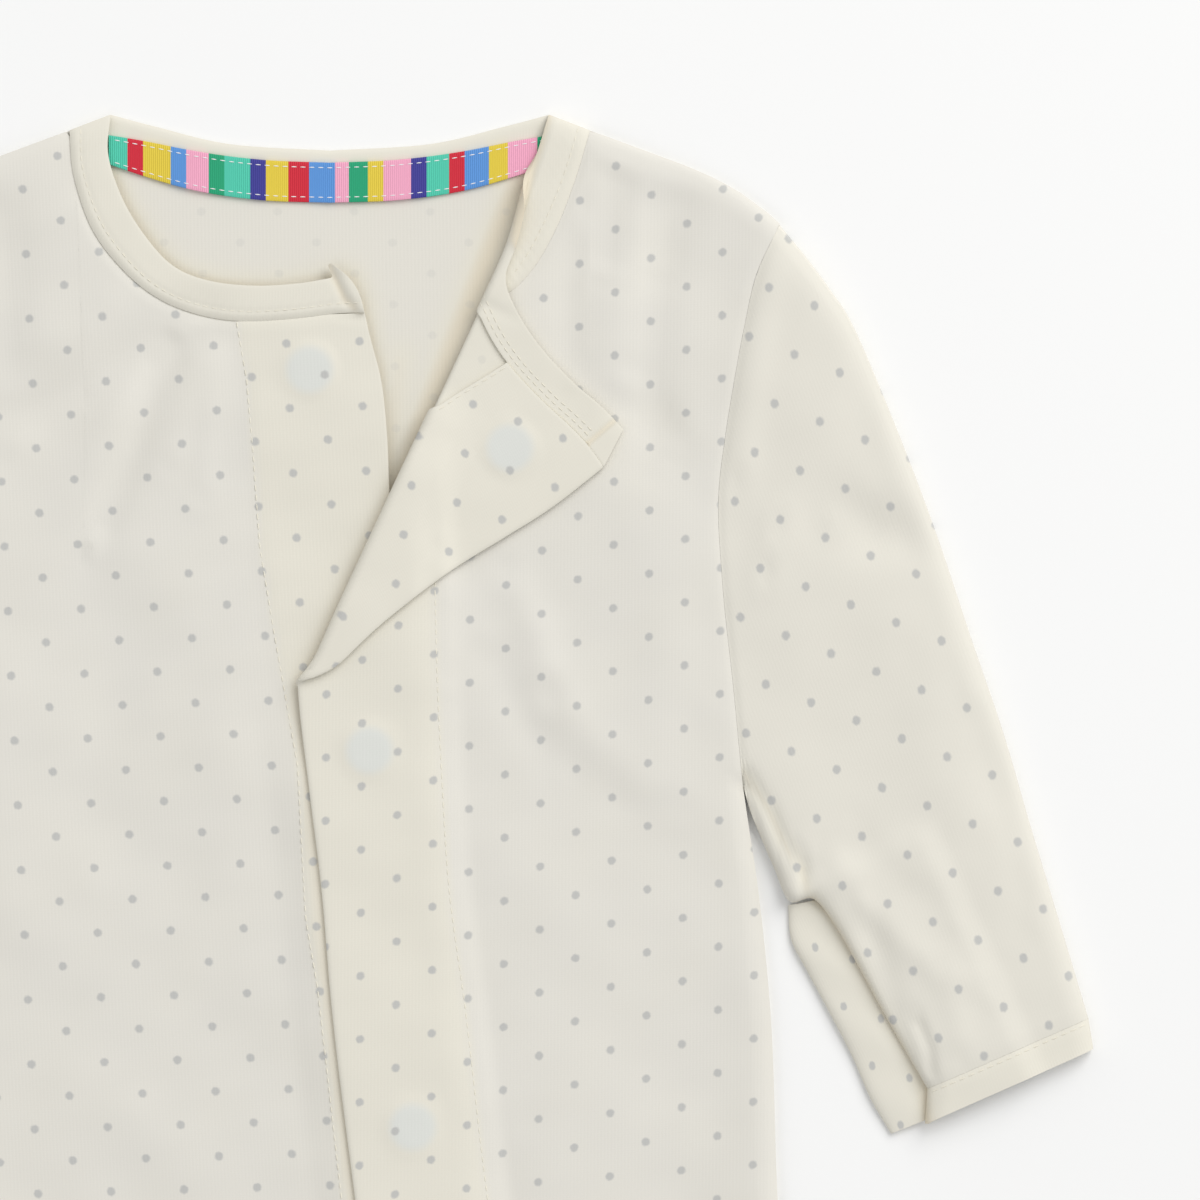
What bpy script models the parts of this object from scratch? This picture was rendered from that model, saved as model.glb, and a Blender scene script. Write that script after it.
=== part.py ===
"""Baby coverall in dotted jersey, laid flat on its back with the top corner of its left front turned open.

The garment lies in the XY plane, its neck towards +Y and its right side up (+Z). Sizes are in
millimetres up to the last step, where each piece becomes a mesh in metres. "Left" and "right" are
the wearer's, so the left front is the one at +X. The outline is symmetric, so most tables
give the +X half only.
"""

import math
from typing import Callable, NamedTuple, Sequence

import bmesh
import bpy
import numpy as np

METRES = 0.001

# ---- Driving sizes -------------------------------------------------------------------------------
CLOTH = 1.0  # wall of each layer of jersey
GAP = 0.3  # between pieces at a seam, and between layers that touch
NECK_GAP = 0.45  # at the curved neck seams, whose two sides have their own chords
LAYER = CLOTH + GAP
BINDING_PROUD = 0.5  # how far the neck binding stands over the panel it edges
HEM_Y = -280.5
UNDERARM_Y = 106.0
SHOULDER_TIP_Y = 252.2
# The shoulder line bends here, on its way from the neck to its tip at the armhole seam.
SHOULDER_BENDS = ((93.6, 266.8), (101.0, 263.5), (107.4, 259.8), (113.8, 255.0))
BODY_LOFT = 1.7  # air under the front
SLEEVE_LOFT = 2.9  # air inside the sleeve
EDGE_ROLL = 6.0  # how far in from a folded side the cloth reaches its full height
MAGNET_RADIUS = 6.0
MAGNET_THICK = 1.0
CHANNEL_DEEP = 1.4  # room inside the placket for its magnets
CHANNEL_FLAT = 11.0  # that room's full depth reaches this far from the placket's middle
CHANNEL_FOOT = 17.0  # and it closes here
CHANNEL_FOLD = (5.0, 12.0)  # it also closes towards the fold, over this distance from it
UNDERLAP_STEP = (4.0, 12.0)  # the left front comes down this far past the right front's edge
PLACKET_STEP = (0.5, 6.0)  # and this far past its own facing

# The turned corner: the fold runs straight from FOLD_FOOT, on the closed edge, to the neck.
FOLD_FOOT = np.array([-6.05, 129.98])
FOLD_ALONG = np.array([0.4211, 0.9070])
FOLD_ACROSS = np.array([0.9070, -0.4211])  # away from the centre front
FOLD_STARTS, FOOT_BEND = 12.0, 0.02  # below this, the fold bends off the closed edge
FOLD_ENDS, NECK_BEND = 120.0, 0.0045  # and past this, off the neck's open edge
FOLD_RADIUS = 0.8  # inside the roll
FOLD_OPENS = 30.0  # the roll reaches that radius this far up the fold
FOLD_STEPS = 6
SETTLE = 14.0  # past the roll, the corner settles over this width
REST_OVER = 0.95  # clear height of the settled corner over the front


class Level(NamedTuple):
    """The body's cut edges at one height: each is an x, on the +X half."""

    y: float
    side: float  # side seam and, above the underarm, armhole seam
    inner: float  # inside leg, or the centre line above the crotch
    closed: float  # edge of the left front, which laps over
    stitch: float  # inner edge of the placket and its facing
    under: float  # edge of the right front, which laps under


LEVELS = (
    Level(-280.5, 106.1, 26.0, 40.0, 76.0, 65.0),
    Level(-210.0, 112.0, 18.2, 35.0, 71.0, 60.0),
    Level(-150.0, 117.8, 10.6, 29.5, 65.0, 54.5),
    Level(-103.0, 120.8, 0.0, 22.5, 58.0, 47.5),
    Level(-60.0, 119.9, 0.0, 15.0, 50.5, 40.5),
    Level(0.0, 116.3, 0.0, 6.5, 41.5, 31.8),
    Level(50.0, 114.3, 0.0, 0.4, 35.6, 25.0),
    Level(80.0, 111.2, 0.0, -2.2, 31.6, 22.3),
    Level(106.0, 107.4, 0.0, -5.4, 29.9, 20.3),
    Level(131.0, 104.9, 0.0, -8.2, 28.7, 18.5),
    Level(160.0, 101.9, 0.0, -8.0, 27.9, 16.9),
    Level(182.0, 101.0, 0.0, -9.2, 27.2, 15.3),
    Level(198.0, 102.9, 0.0, -11.6, 26.4, 14.6),
    Level(211.0, 105.0, 0.0, -13.4, 25.2, 13.2),
    Level(225.0, 107.6, 0.0, -14.0, 23.2, 9.7),
    Level(240.0, 111.2, 0.0, -14.2, 22.0, 7.0),
    Level(252.2, 116.9, 0.0, -14.2, 22.0, 7.0),
    Level(266.8, 122.0, 0.0, -14.2, 22.0, 7.0),
)


class NeckStation(NamedTuple):
    """A crossing of the front neck binding: its seam to the panel and its open edge."""

    seam_x: float
    seam_y: float
    edge_x: float
    edge_y: float


NECK = (  # from the shoulder to the closed edge
    NeckStation(67.6, 276.4, 56.9, 280.5),
    NeckStation(66.4, 264.4, 57.5, 270.0),
    NeckStation(61.4, 250.2, 53.4, 257.8),
    NeckStation(52.8, 239.2, 46.6, 247.2),
    NeckStation(44.0, 232.4, 39.8, 240.6),
    NeckStation(34.1, 228.5, 30.8, 237.2),
    NeckStation(22.9, 226.8, 19.5, 236.0),
    NeckStation(9.6, 227.4, 8.0, 236.6),
    NeckStation(0.0, 228.6, 0.0, 237.9),
    NeckStation(-7.4, 229.0, -4.6, 238.4),
    NeckStation(-14.0, 228.5, -9.8, 238.6),
)
NECK_CENTRE = 8.0 / 10.0  # share of the neck's stations at the centre front
RIGHT_NECK_END = 0.925  # share that the right front reaches
LEFT_STITCH_AT = 6.0 / 10.0  # the placket's stitching meets the neck at this share

BACK_NECK = (  # half of the back neck binding, from the centre
    NeckStation(0.0, 261.5, 0.0, 271.2),
    NeckStation(26.0, 263.0, 26.0, 272.9),
    NeckStation(46.0, 268.0, 45.2, 277.4),
    NeckStation(67.6, 276.4, 56.9, 280.5),
)


class TapeStation(NamedTuple):
    """Half of the back neck tape, from the centre: its lower and upper edge."""

    x: float
    low: float
    high: float


TAPE = (
    TapeStation(0.0, 257.6, 268.0),
    TapeStation(18.0, 258.3, 268.8),
    TapeStation(36.0, 261.0, 271.2),
    TapeStation(48.0, 264.4, 273.6),
    TapeStation(57.5, 267.6, 275.2),
)


class SleeveStation(NamedTuple):
    """A section of the flat sleeve: where it meets the outer fold and the underarm side."""

    outer_x: float
    outer_y: float
    inner_x: float
    inner_y: float


SLEEVE = (
    SleeveStation(117.6, 251.9, 107.9, 105.3),
    SleeveStation(124.5, 243.4, 109.8, 98.8),
    SleeveStation(130.2, 235.4, 112.5, 92.0),
    SleeveStation(136.5, 225.0, 115.6, 84.6),
    SleeveStation(147.5, 198.5, 119.4, 76.2),
    SleeveStation(157.5, 172.0, 125.7, 76.7),
    SleeveStation(166.5, 145.0, 131.4, 69.6),
    SleeveStation(175.0, 120.0, 137.2, 59.4),
    SleeveStation(182.3, 95.0, 142.6, 49.4),
    SleeveStation(190.0, 69.5, 148.6, 38.8),
    SleeveStation(197.1, 45.8, 155.2, 27.6),
)
SLEEVE_HEM = (  # the band below it
    SleeveStation(197.2, 45.4, 155.4, 27.2),
    SleeveStation(198.4, 37.8, 154.6, 18.4),
)


class MittStation(NamedTuple):
    """A crossing of the fold-over mitten cuff: where it meets the sleeve, and its own folded edge."""

    valley_x: float
    valley_y: float
    outer_x: float
    outer_y: float
    crown: float  # height of the middle of its upper side


MITT = (
    MittStation(125.2, 76.2, 118.9, 75.0, 3.0),
    MittStation(130.5, 69.6, 119.6, 66.0, 3.9),
    MittStation(136.3, 59.4, 123.6, 58.0, 4.3),
    MittStation(141.6, 49.4, 129.4, 47.2, 4.4),
    MittStation(147.6, 38.8, 135.4, 35.6, 4.2),
    MittStation(151.8, 29.6, 140.2, 24.6, 3.9),
    MittStation(154.0, 19.0, 145.6, 15.6, 3.4),
)
CUFF_ACROSS = np.array([0.911, 0.410])  # along the sleeve's cuff, towards its outer side
CUFF_CORNER = np.array([154.4, 18.2])
MITT_REACH = 26.0  # how far the mitt lies under the sleeve
MITT_LENGTH = 66.0
MITT_RAMP = 8.0
MITT_OUTSIDE, MITT_STEP = 17.0, 4.0  # past the cuff's inner corner nothing lies on the mitt
BODY_REACH = 112.0  # the body's side lies within this x where the mitt's row ends beside it


class Crease(NamedTuple):
    """A soft ridge (height > 0) or trough along a bent line of points, in the top layer."""

    points: tuple[tuple[float, float], ...]
    width: float
    height: float


CREASES = (
    # wearer's left: the sleeve head's fold, then the troughs down from the shoulder
    Crease(((115.5, 243.0), (109.5, 229.0), (108.3, 205.0), (104.8, 184.0)), 4.2, 1.3),
    Crease(((88.4, 264.0), (84.6, 241.0), (83.0, 214.0), (86.0, 189.0)), 5.5, -0.8),
    Crease(((77.7, 262.0), (77.0, 236.0), (74.1, 203.0)), 6.0, 0.5),
    Crease(((116.5, 174.0), (113.4, 161.0)), 5.0, 0.45),
    Crease(((143.0, 170.5), (155.0, 171.0)), 4.0, -0.5),
    Crease(((138.0, 76.0), (145.6, 50.4), (152.0, 25.0)), 4.5, -0.8),
    # wearer's right: the same shoulder, and gathers spreading from the neck
    Crease(((-114.0, 242.0), (-109.0, 226.0), (-107.0, 206.0), (-104.0, 186.0)), 4.2, 1.1),
    Crease(((-87.0, 263.0), (-84.0, 238.0), (-84.6, 208.0)), 5.5, -0.7),
    Crease(((-45.0, 227.0), (-58.0, 213.0), (-70.0, 204.0)), 4.5, -0.45),
    Crease(((-35.0, 224.5), (-40.5, 211.0), (-46.0, 194.0)), 4.5, -0.45),
    Crease(((-141.0, 168.0), (-154.0, 171.5)), 4.0, -0.5),
    Crease(((-136.0, 78.0), (-144.5, 52.0), (-151.5, 26.0)), 4.5, -0.7),
)

# ---- Closures: each magnet's centre in its own flat front -----------------------------------------
LEFT_MAGNETS = ((5.5, 213.1), (10.4, 115.4), (21.6, 17.7), (37.6, -79.6), (53.2, -177.0))
RIGHT_MAGNETS = ((-5.2, 214.2), (10.0, 115.4), (18.4, 17.7), (32.6, -79.6), (47.2, -177.0))

# ---- Grid densities -------------------------------------------------------------------------------
BODY_ROWS = 48
SIDE_PULL = 5.0  # keeps a panel's columns clear of its neck seam where its armhole leans
ROW_CROWDING = 0.55  # rows are closer together towards the neck
PLACKET_COLUMNS = 6
LEFT_COLUMNS = 12
RIGHT_COLUMNS = 14
STRIP_COLUMNS = 4
BACK_COLUMNS = 8
SLEEVE_TOP = 14
SLEEVE_ROWS = 18
# Share of a panel's top edge that is its neck seam; the rest is its shoulder.
LEFT_NECK_PART, RIGHT_NECK_PART = 9 / LEFT_COLUMNS, 11 / RIGHT_COLUMNS
BACK_NECK_PART = 5 / BACK_COLUMNS
BINDING_ROWS = 24
# Round a flat tube, as shares of the way: the top side from 0, a rim, the under side from 0.5, a rim.
TUBE_SIDE = 0.46
INNER_RIM, OUTER_RIM = 0.48, 0.98
RIM_ROUND = 0.5  # how far the rims stand out past the two sides
ARMHOLE_GAP = 0.4
BOW_FADES = 0.45  # share of the sleeve's length over which its armhole bow straightens


# ---- Curves ---------------------------------------------------------------------------------------
def smooth_step(value):
    """0 below 0, 1 above 1, and a soft S between."""
    clipped = np.clip(value, 0.0, 1.0)
    return clipped * clipped * (3.0 - 2.0 * clipped)


def hermite(stations, values, at):
    """Smooth curve through values at rising stations, read at the points given."""
    stations, values, at = (np.asarray(item, float) for item in (stations, values, at))
    slope = np.gradient(values, stations)
    index = np.clip(np.searchsorted(stations, at) - 1, 0, len(stations) - 2)
    span = stations[index + 1] - stations[index]
    share = np.clip((at - stations[index]) / span, 0.0, 1.0)
    square, cube = share**2, share**3
    return (
        (2 * cube - 3 * square + 1) * values[index]
        + (cube - 2 * square + share) * span * slope[index]
        + (3 * square - 2 * cube) * values[index + 1]
        + (cube - square) * span * slope[index + 1]
    )


def edge(column: str, y):
    """x of one of the body's cut edges at height y."""
    # The inside leg leaves the centre line at the crotch in a corner, so it isn't smoothed.
    read = np.interp if column == "inner" else lambda at, ys, xs: hermite(ys, xs, at)
    return read(y, [level.y for level in LEVELS], [getattr(level, column) for level in LEVELS])


def station_curve(stations: Sequence[NamedTuple], x_name: str, y_name: str, share):
    """Point at a share (0 to 1) of a table's rows, along one pair of its columns."""
    knots = np.linspace(0.0, 1.0, len(stations))
    return (
        hermite(knots, [getattr(row, x_name) for row in stations], share),
        hermite(knots, [getattr(row, y_name) for row in stations], share),
    )


def distance_to(line, x, y):
    """Distance from each point to a bent line."""
    best = np.full(np.shape(x), np.inf)
    for (ax, ay), (bx, by) in zip(line[:-1], line[1:]):
        dx, dy = bx - ax, by - ay
        share = np.clip(((x - ax) * dx + (y - ay) * dy) / (dx * dx + dy * dy), 0.0, 1.0)
        best = np.minimum(best, np.hypot(x - ax - share * dx, y - ay - share * dy))
    return best


def folded_sides():
    """The closed sides of the flat garment on its +X half, as bent lines: no hem and no neck."""
    share = np.linspace(0.0, 1.0, 21)
    outer = np.stack(station_curve(SLEEVE, "outer_x", "outer_y", share), axis=1)
    inner = np.stack(station_curve(SLEEVE, "inner_x", "inner_y", share), axis=1)
    side_y = np.linspace(HEM_Y, UNDERARM_Y, 15)
    leg_y = np.linspace(HEM_Y, -103.0, 6)
    shoulder = np.array([(NECK[0].edge_x, NECK[0].edge_y), *SHOULDER_BENDS, outer[0]])
    hem = np.array([(row.outer_x, row.outer_y) for row in SLEEVE_HEM])
    hem_inner = np.array([(row.inner_x, row.inner_y) for row in SLEEVE_HEM])
    side = np.stack([edge("side", side_y), side_y], axis=1)
    leg = np.stack([edge("inner", leg_y), leg_y], axis=1)
    return [shoulder, np.vstack([outer, hem]), np.vstack([inner, hem_inner]), side, leg]


FOLDED_SIDES = folded_sides()


# ---- Heights --------------------------------------------------------------------------------------
def surface(x, y):
    """The surface that the garment lies on."""
    return np.zeros(np.shape(x))


def mitt_lift(x, y):
    """Height that the mitt under the cuff adds to the sleeve above it."""
    dx, dy = np.abs(x) - CUFF_CORNER[0], y - CUFF_CORNER[1]
    across = dx * CUFF_ACROSS[0] + dy * CUFF_ACROSS[1]
    along = dy * CUFF_ACROSS[0] - dx * CUFF_ACROSS[1]
    over_width = 1.0 - smooth_step((across - MITT_REACH - 2.0) / MITT_RAMP)
    over_length = 1.0 - smooth_step((along - MITT_LENGTH) / MITT_RAMP)
    beside_body = smooth_step((across + MITT_OUTSIDE) / MITT_STEP) * (np.abs(x) > BODY_REACH)
    return LAYER * over_width * over_length * beside_body


def front_base(x, y):
    """Underside of the garment's first upper layer."""
    x, y = np.asarray(x, float), np.asarray(y, float)
    away = np.min([distance_to(line, np.abs(x), y) for line in FOLDED_SIDES], axis=0)
    rounded = np.sqrt(1.0 - (1.0 - np.clip(away / EDGE_ROLL, 0.0, 1.0)) ** 2)
    loft = BODY_LOFT + (SLEEVE_LOFT - BODY_LOFT) * smooth_step((np.abs(x) - 98.0) / 26.0)
    height = LAYER + loft * rounded
    for crease in CREASES:
        spread = np.exp(-((distance_to(crease.points, x, y) / crease.width) ** 2))
        height = height + crease.height * spread * rounded
    return height + mitt_lift(x, y)


def channel(x, y):
    """1 along the middle of the left placket, falling to 0 at its edges and at the fold."""
    away = np.abs(x - (edge("closed", y) + edge("stitch", y)) / 2)
    across = 1.0 - smooth_step((away - CHANNEL_FLAT) / (CHANNEL_FOOT - CHANNEL_FLAT))
    near, far = CHANNEL_FOLD
    return across * smooth_step((np.abs(fold_place(x, y)[2]) - near) / (far - near))


def stepped(column: str, step, x, y):
    """1 up to one of the cut edges, falling to 0 over the step past it."""
    past = x - edge(column, y) - step[0]
    return 1.0 - smooth_step(past / (step[1] - step[0]))


def left_top(x, y):
    """Right side of the left front, where it lies flat over the right front and its own facing."""
    layers = stepped("under", UNDERLAP_STEP, x, y) + stepped("stitch", PLACKET_STEP, x, y)
    return front_base(x, y) + LAYER * layers + CHANNEL_DEEP * channel(x, y) + CLOTH


def facing_depth(x, y):
    """Depth of the facing's upper side below the right side of the left front."""
    return LAYER + CHANNEL_DEEP * channel(x, y)


def fold_place(x, y):
    """Position of a flat point relative to the fold: along it, its sideways bend there, and turned
    past it (> 0). The fold is straight but for its two ends, which bend off the cloth."""
    dx, dy = x - FOLD_FOOT[0], y - FOLD_FOOT[1]
    along = dx * FOLD_ALONG[0] + dy * FOLD_ALONG[1]
    low_end, high_end = np.maximum(FOLD_STARTS - along, 0.0), np.maximum(along - FOLD_ENDS, 0.0)
    bend = FOOT_BEND * low_end**2 + NECK_BEND * high_end**2
    return along, bend, -(dx * FOLD_ACROSS[0] + dy * FOLD_ACROSS[1]) - bend


def left_front(x, y, depth):
    """Where a point of the flat left front goes, this deep under its right side.

    Short of the fold it lies flat. Past the fold it goes round a soft roll, and then settles,
    wrong side up, on the front.
    """
    along, bend, turned = fold_place(x, y)
    foot_x = FOLD_FOOT[0] + along * FOLD_ALONG[0] - bend * FOLD_ACROSS[0]
    foot_y = FOLD_FOOT[1] + along * FOLD_ALONG[1] - bend * FOLD_ACROSS[1]
    radius = 0.3 + (FOLD_RADIUS - 0.3) * smooth_step(along / FOLD_OPENS)
    neutral = radius + CLOTH / 2
    angle = np.clip(turned / neutral, 0.0, math.pi)
    past = np.maximum(turned - math.pi * neutral, 0.0)
    across = past - (radius + depth) * np.sin(angle)
    new_x = np.where(turned > 0, foot_x + across * FOLD_ACROSS[0], x)
    new_y = np.where(turned > 0, foot_y + across * FOLD_ACROSS[1], y)
    rolled = left_top(foot_x, foot_y) + radius - (radius + depth) * np.cos(angle)
    settled = left_top(new_x, new_y) + REST_OVER + depth
    share = smooth_step(past / SETTLE)
    height = np.where(turned > 0, rolled + (settled - rolled) * share, left_top(x, y) - depth)
    return new_x, new_y, height


# ---- Meshes ---------------------------------------------------------------------------------------
Place = Callable[[np.ndarray, np.ndarray], tuple[np.ndarray, np.ndarray]]


def add_grid(bm: bmesh.types.BMesh, columns: int, rows: int, place: Place) -> None:
    """Adds an open grid to the mesh, each point at place(u, v) with u and v from 0 to 1."""
    made = bmesh.ops.create_grid(bm, x_segments=columns, y_segments=rows, size=0.5)["verts"]
    flat = np.array([vert.co for vert in made]) + 0.5
    xs, ys = place(flat[:, 0], flat[:, 1])
    for vert, x, y in zip(made, xs, ys):
        vert.co = (x, y, 0.0)


def row_share(v):
    """Share of the body's height at row v: rows crowd towards the neck."""
    return v * (1.0 + ROW_CROWDING * (1.0 - v))


def patch(left, right, bottom, top, pull: float = 1.0) -> Place:
    """A sheet stretched between four edges, each a function of its own share from 0 to 1.

    pull is the power of u by which the right edge's shape fades across the sheet.
    """

    def place(u, v):
        v = row_share(v)
        corners = [np.array(curve(end)) for curve in (left, right) for end in (0.0, 1.0)]
        sheet = []
        for axis in (0, 1):
            near = u**pull
            ruled = (1 - near) * left(v)[axis] + near * right(v)[axis]
            crossed = (1 - v) * bottom(u)[axis] + v * top(u)[axis]
            low = (1 - near) * corners[0][axis] + near * corners[2][axis]
            high = (1 - near) * corners[1][axis] + near * corners[3][axis]
            sheet.append(ruled + crossed - (1 - v) * low - v * high)
        return sheet[0], sheet[1]

    return place


def body_edge(column: str, top_y: float, inset: float = 0.0):
    """One of the body's cut edges from the hem up to top_y, as a function of its share."""

    def at(share):
        y = HEM_Y + (top_y - HEM_Y) * np.asarray(share, float)
        return edge(column, y) - inset, y

    return at


def straight(start, end):
    """A straight edge, as a function of its share."""
    return lambda share: tuple(a + (b - a) * np.asarray(share, float) for a, b in zip(start, end))


def neck_point(stations, side: str, share, inset: float = 0.0):
    """A point of a neck table's seam or open edge, moved inset along the crossing."""
    x, y = station_curve(stations, f"{side}_x", f"{side}_y", share)
    other = "edge" if side == "seam" else "seam"
    ox, oy = station_curve(stations, f"{other}_x", f"{other}_y", share)
    length = np.hypot(ox - x, oy - y)
    return x - inset * (ox - x) / length, y - inset * (oy - y) / length


def neck_then_shoulder(stations, start: float, end: float, neck_part: float):
    """Top edge of a panel: the neck seam between two shares, then the shoulder.

    neck_part is the share of this whole edge that goes to the neck seam.
    """
    corner = neck_point(stations, "seam", end, NECK_GAP)
    tip = (float(edge("side", SHOULDER_TIP_Y)), SHOULDER_TIP_Y)
    line = np.array([[float(value) for value in corner], *SHOULDER_BENDS, tip])
    walked = np.concatenate([[0.0], np.cumsum(np.hypot(*np.diff(line, axis=0).T))])

    def at(share):
        share = np.asarray(share, float)
        along = start + (end - start) * np.clip(share / neck_part, 0.0, 1.0)
        seam = neck_point(stations, "seam", along, NECK_GAP)
        onward = walked[-1] * np.clip((share - neck_part) / (1.0 - neck_part), 0.0, 1.0)
        shoulder = [np.interp(onward, walked, line[:, axis]) for axis in (0, 1)]
        return tuple(np.where(share <= neck_part, s, t) for s, t in zip(seam, shoulder))

    return at


def thicken(bm: bmesh.types.BMesh, low, high) -> None:
    """Gives a flat sheet its wall: low(x, y) and high(x, y) say where its two sides go."""
    bmesh.ops.remove_doubles(bm, verts=bm.verts[:], dist=0.01)
    lower = bm.verts[:]
    raised = bmesh.ops.extrude_face_region(bm, geom=bm.faces[:])["geom"]
    upper = [item for item in raised if isinstance(item, bmesh.types.BMVert)]
    for verts, surface in ((lower, low), (upper, high)):
        flat = np.array([vert.co for vert in verts])
        for vert, point in zip(verts, np.stack(surface(flat[:, 0], flat[:, 1]), axis=1)):
            vert.co = point
    bmesh.ops.recalc_face_normals(bm, faces=bm.faces[:])


def lying(height, extra: float = 0.0):
    """A side of a wall that stays over its own flat place, at height(x, y) + extra."""
    return lambda x, y: (x, y, height(x, y) + extra)


def fold_lines(bm: bmesh.types.BMesh) -> None:
    """Cuts the flat left front along the lines where its turned corner bends."""
    bends = np.linspace(0.0, math.pi * (FOLD_RADIUS + CLOTH / 2), FOLD_STEPS)
    for turned in [*bends, bends[-1] + SETTLE / 2, bends[-1] + SETTLE]:
        point = FOLD_FOOT - turned * FOLD_ACROSS
        bmesh.ops.bisect_plane(
            bm,
            geom=[*bm.verts, *bm.edges, *bm.faces],
            dist=0.02,
            plane_co=(*point, 0.0),
            plane_no=(*FOLD_ACROSS, 0.0),
        )


def mirror(bm: bmesh.types.BMesh) -> bmesh.types.BMesh:
    """Turns a piece of the +X half into its twin on the other."""
    for vert in bm.verts:
        vert.co.x = -vert.co.x
    bmesh.ops.reverse_faces(bm, faces=bm.faces[:])
    return bm


# ---- Body -----------------------------------------------------------------------------------------
def hem_edge(left_column: str, right_column: str):
    """The leg's hem between two of the body's cut edges."""
    return straight((float(edge(left_column, HEM_Y)), HEM_Y), (float(edge(right_column, HEM_Y)), HEM_Y))


def back_body() -> bmesh.types.BMesh:
    """The back, one piece from neck to both hems, flat on the surface."""
    bm = bmesh.new()
    centre_y = float(neck_point(BACK_NECK, "seam", 0.0, NECK_GAP)[1])
    half = patch(
        body_edge("inner", centre_y),
        body_edge("side", SHOULDER_TIP_Y),
        hem_edge("inner", "side"),
        neck_then_shoulder(BACK_NECK, 0.0, 1.0, BACK_NECK_PART),
        SIDE_PULL,
    )
    add_grid(bm, BACK_COLUMNS, BODY_ROWS // 2, half)
    add_grid(bm, BACK_COLUMNS, BODY_ROWS // 2, lambda u, v: (-half(u, v)[0], half(u, v)[1]))
    thicken(bm, lying(surface), lying(surface, CLOTH))
    return bm


def front_right() -> bmesh.types.BMesh:
    """The right front with the crotch and the underlap, which runs on down the left leg."""
    bm = bmesh.new()
    centre = neck_point(NECK, "seam", NECK_CENTRE, NECK_GAP)
    half = patch(
        body_edge("inner", float(centre[1])),
        body_edge("side", SHOULDER_TIP_Y),
        hem_edge("inner", "side"),
        neck_then_shoulder(NECK, NECK_CENTRE, 0.0, RIGHT_NECK_PART),
        SIDE_PULL,
    )
    add_grid(bm, RIGHT_COLUMNS, BODY_ROWS, lambda u, v: (-half(u, v)[0], half(u, v)[1]))
    end = neck_point(NECK, "seam", RIGHT_NECK_END, NECK_GAP)
    strip = patch(
        body_edge("inner", float(centre[1])),
        body_edge("under", float(end[1])),
        hem_edge("inner", "under"),
        straight((0.0, float(centre[1])), (-float(end[0]), float(end[1]))),
    )
    add_grid(bm, STRIP_COLUMNS, BODY_ROWS, strip)
    thicken(bm, lying(front_base), lying(front_base, CLOTH))
    return bm


def placket_patch() -> Place:
    """The left front between its closed edge and the placket's stitching, laid flat."""
    end, stitch = (neck_point(NECK, "seam", share, NECK_GAP) for share in (1.0, LEFT_STITCH_AT))
    return patch(
        body_edge("closed", float(end[1])),
        body_edge("stitch", float(stitch[1])),
        hem_edge("closed", "stitch"),
        lambda share: neck_point(NECK, "seam", 1 - (1 - LEFT_STITCH_AT) * np.asarray(share), NECK_GAP),
    )


def front_left() -> bmesh.types.BMesh:
    """The left front, its top corner turned back along the fold."""
    bm = bmesh.new()
    stitch = neck_point(NECK, "seam", LEFT_STITCH_AT, NECK_GAP)
    panel = patch(
        body_edge("stitch", float(stitch[1])),
        body_edge("side", SHOULDER_TIP_Y),
        hem_edge("stitch", "side"),
        neck_then_shoulder(NECK, LEFT_STITCH_AT, 0.0, LEFT_NECK_PART),
        SIDE_PULL,
    )
    add_grid(bm, PLACKET_COLUMNS, BODY_ROWS, placket_patch())
    add_grid(bm, LEFT_COLUMNS, BODY_ROWS, panel)
    bmesh.ops.remove_doubles(bm, verts=bm.verts[:], dist=0.01)
    fold_lines(bm)
    thicken(bm, lambda x, y: left_front(x, y, CLOTH), lambda x, y: left_front(x, y, 0.0))
    return bm


def placket_facing() -> bmesh.types.BMesh:
    """The facing behind the left front's placket, which shows where the corner is turned."""
    bm = bmesh.new()
    add_grid(bm, PLACKET_COLUMNS, BODY_ROWS, placket_patch())
    fold_lines(bm)
    thicken(
        bm,
        lambda x, y: left_front(x, y, facing_depth(x, y) + CLOTH),
        lambda x, y: left_front(x, y, facing_depth(x, y)),
    )
    return bm


# ---- Neck -----------------------------------------------------------------------------------------
def neck_strip(stations, start: float, end: float) -> Place:
    """The binding between its seam (u = 0) and its open edge (u = 1)."""

    def place(u, v):
        share = start + (end - start) * v
        seam = neck_point(stations, "seam", share)
        rim = neck_point(stations, "edge", share)
        return tuple(a + (b - a) * u for a, b in zip(seam, rim))

    return place


def neck_binding_left() -> bmesh.types.BMesh:
    """The left front's share of the binding, turned over with its corner."""
    bm = bmesh.new()
    add_grid(bm, 2, BINDING_ROWS, neck_strip(NECK, 0.0, 1.0))
    fold_lines(bm)
    thicken(
        bm,
        lambda x, y: left_front(x, y, CLOTH),
        lambda x, y: left_front(x, y, -BINDING_PROUD),
    )
    return bm


def neck_binding_right() -> bmesh.types.BMesh:
    """The right front's share of the binding, up to its own placket."""
    bm = bmesh.new()
    strip = neck_strip(NECK, 0.0, RIGHT_NECK_END)
    add_grid(bm, 2, BINDING_ROWS, lambda u, v: (-strip(u, v)[0], strip(u, v)[1]))
    thicken(bm, lying(front_base), lying(front_base, CLOTH + BINDING_PROUD))
    return bm


def neck_binding_back() -> bmesh.types.BMesh:
    """The back's share of the binding, between the shoulders."""
    bm = bmesh.new()
    half = neck_strip(BACK_NECK, 0.0, 1.0)
    add_grid(bm, 1, BINDING_ROWS // 2, half)
    add_grid(bm, 1, BINDING_ROWS // 2, lambda u, v: (-half(u, v)[0], half(u, v)[1]))
    thicken(bm, lying(surface), lying(surface, CLOTH))
    return bm


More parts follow.
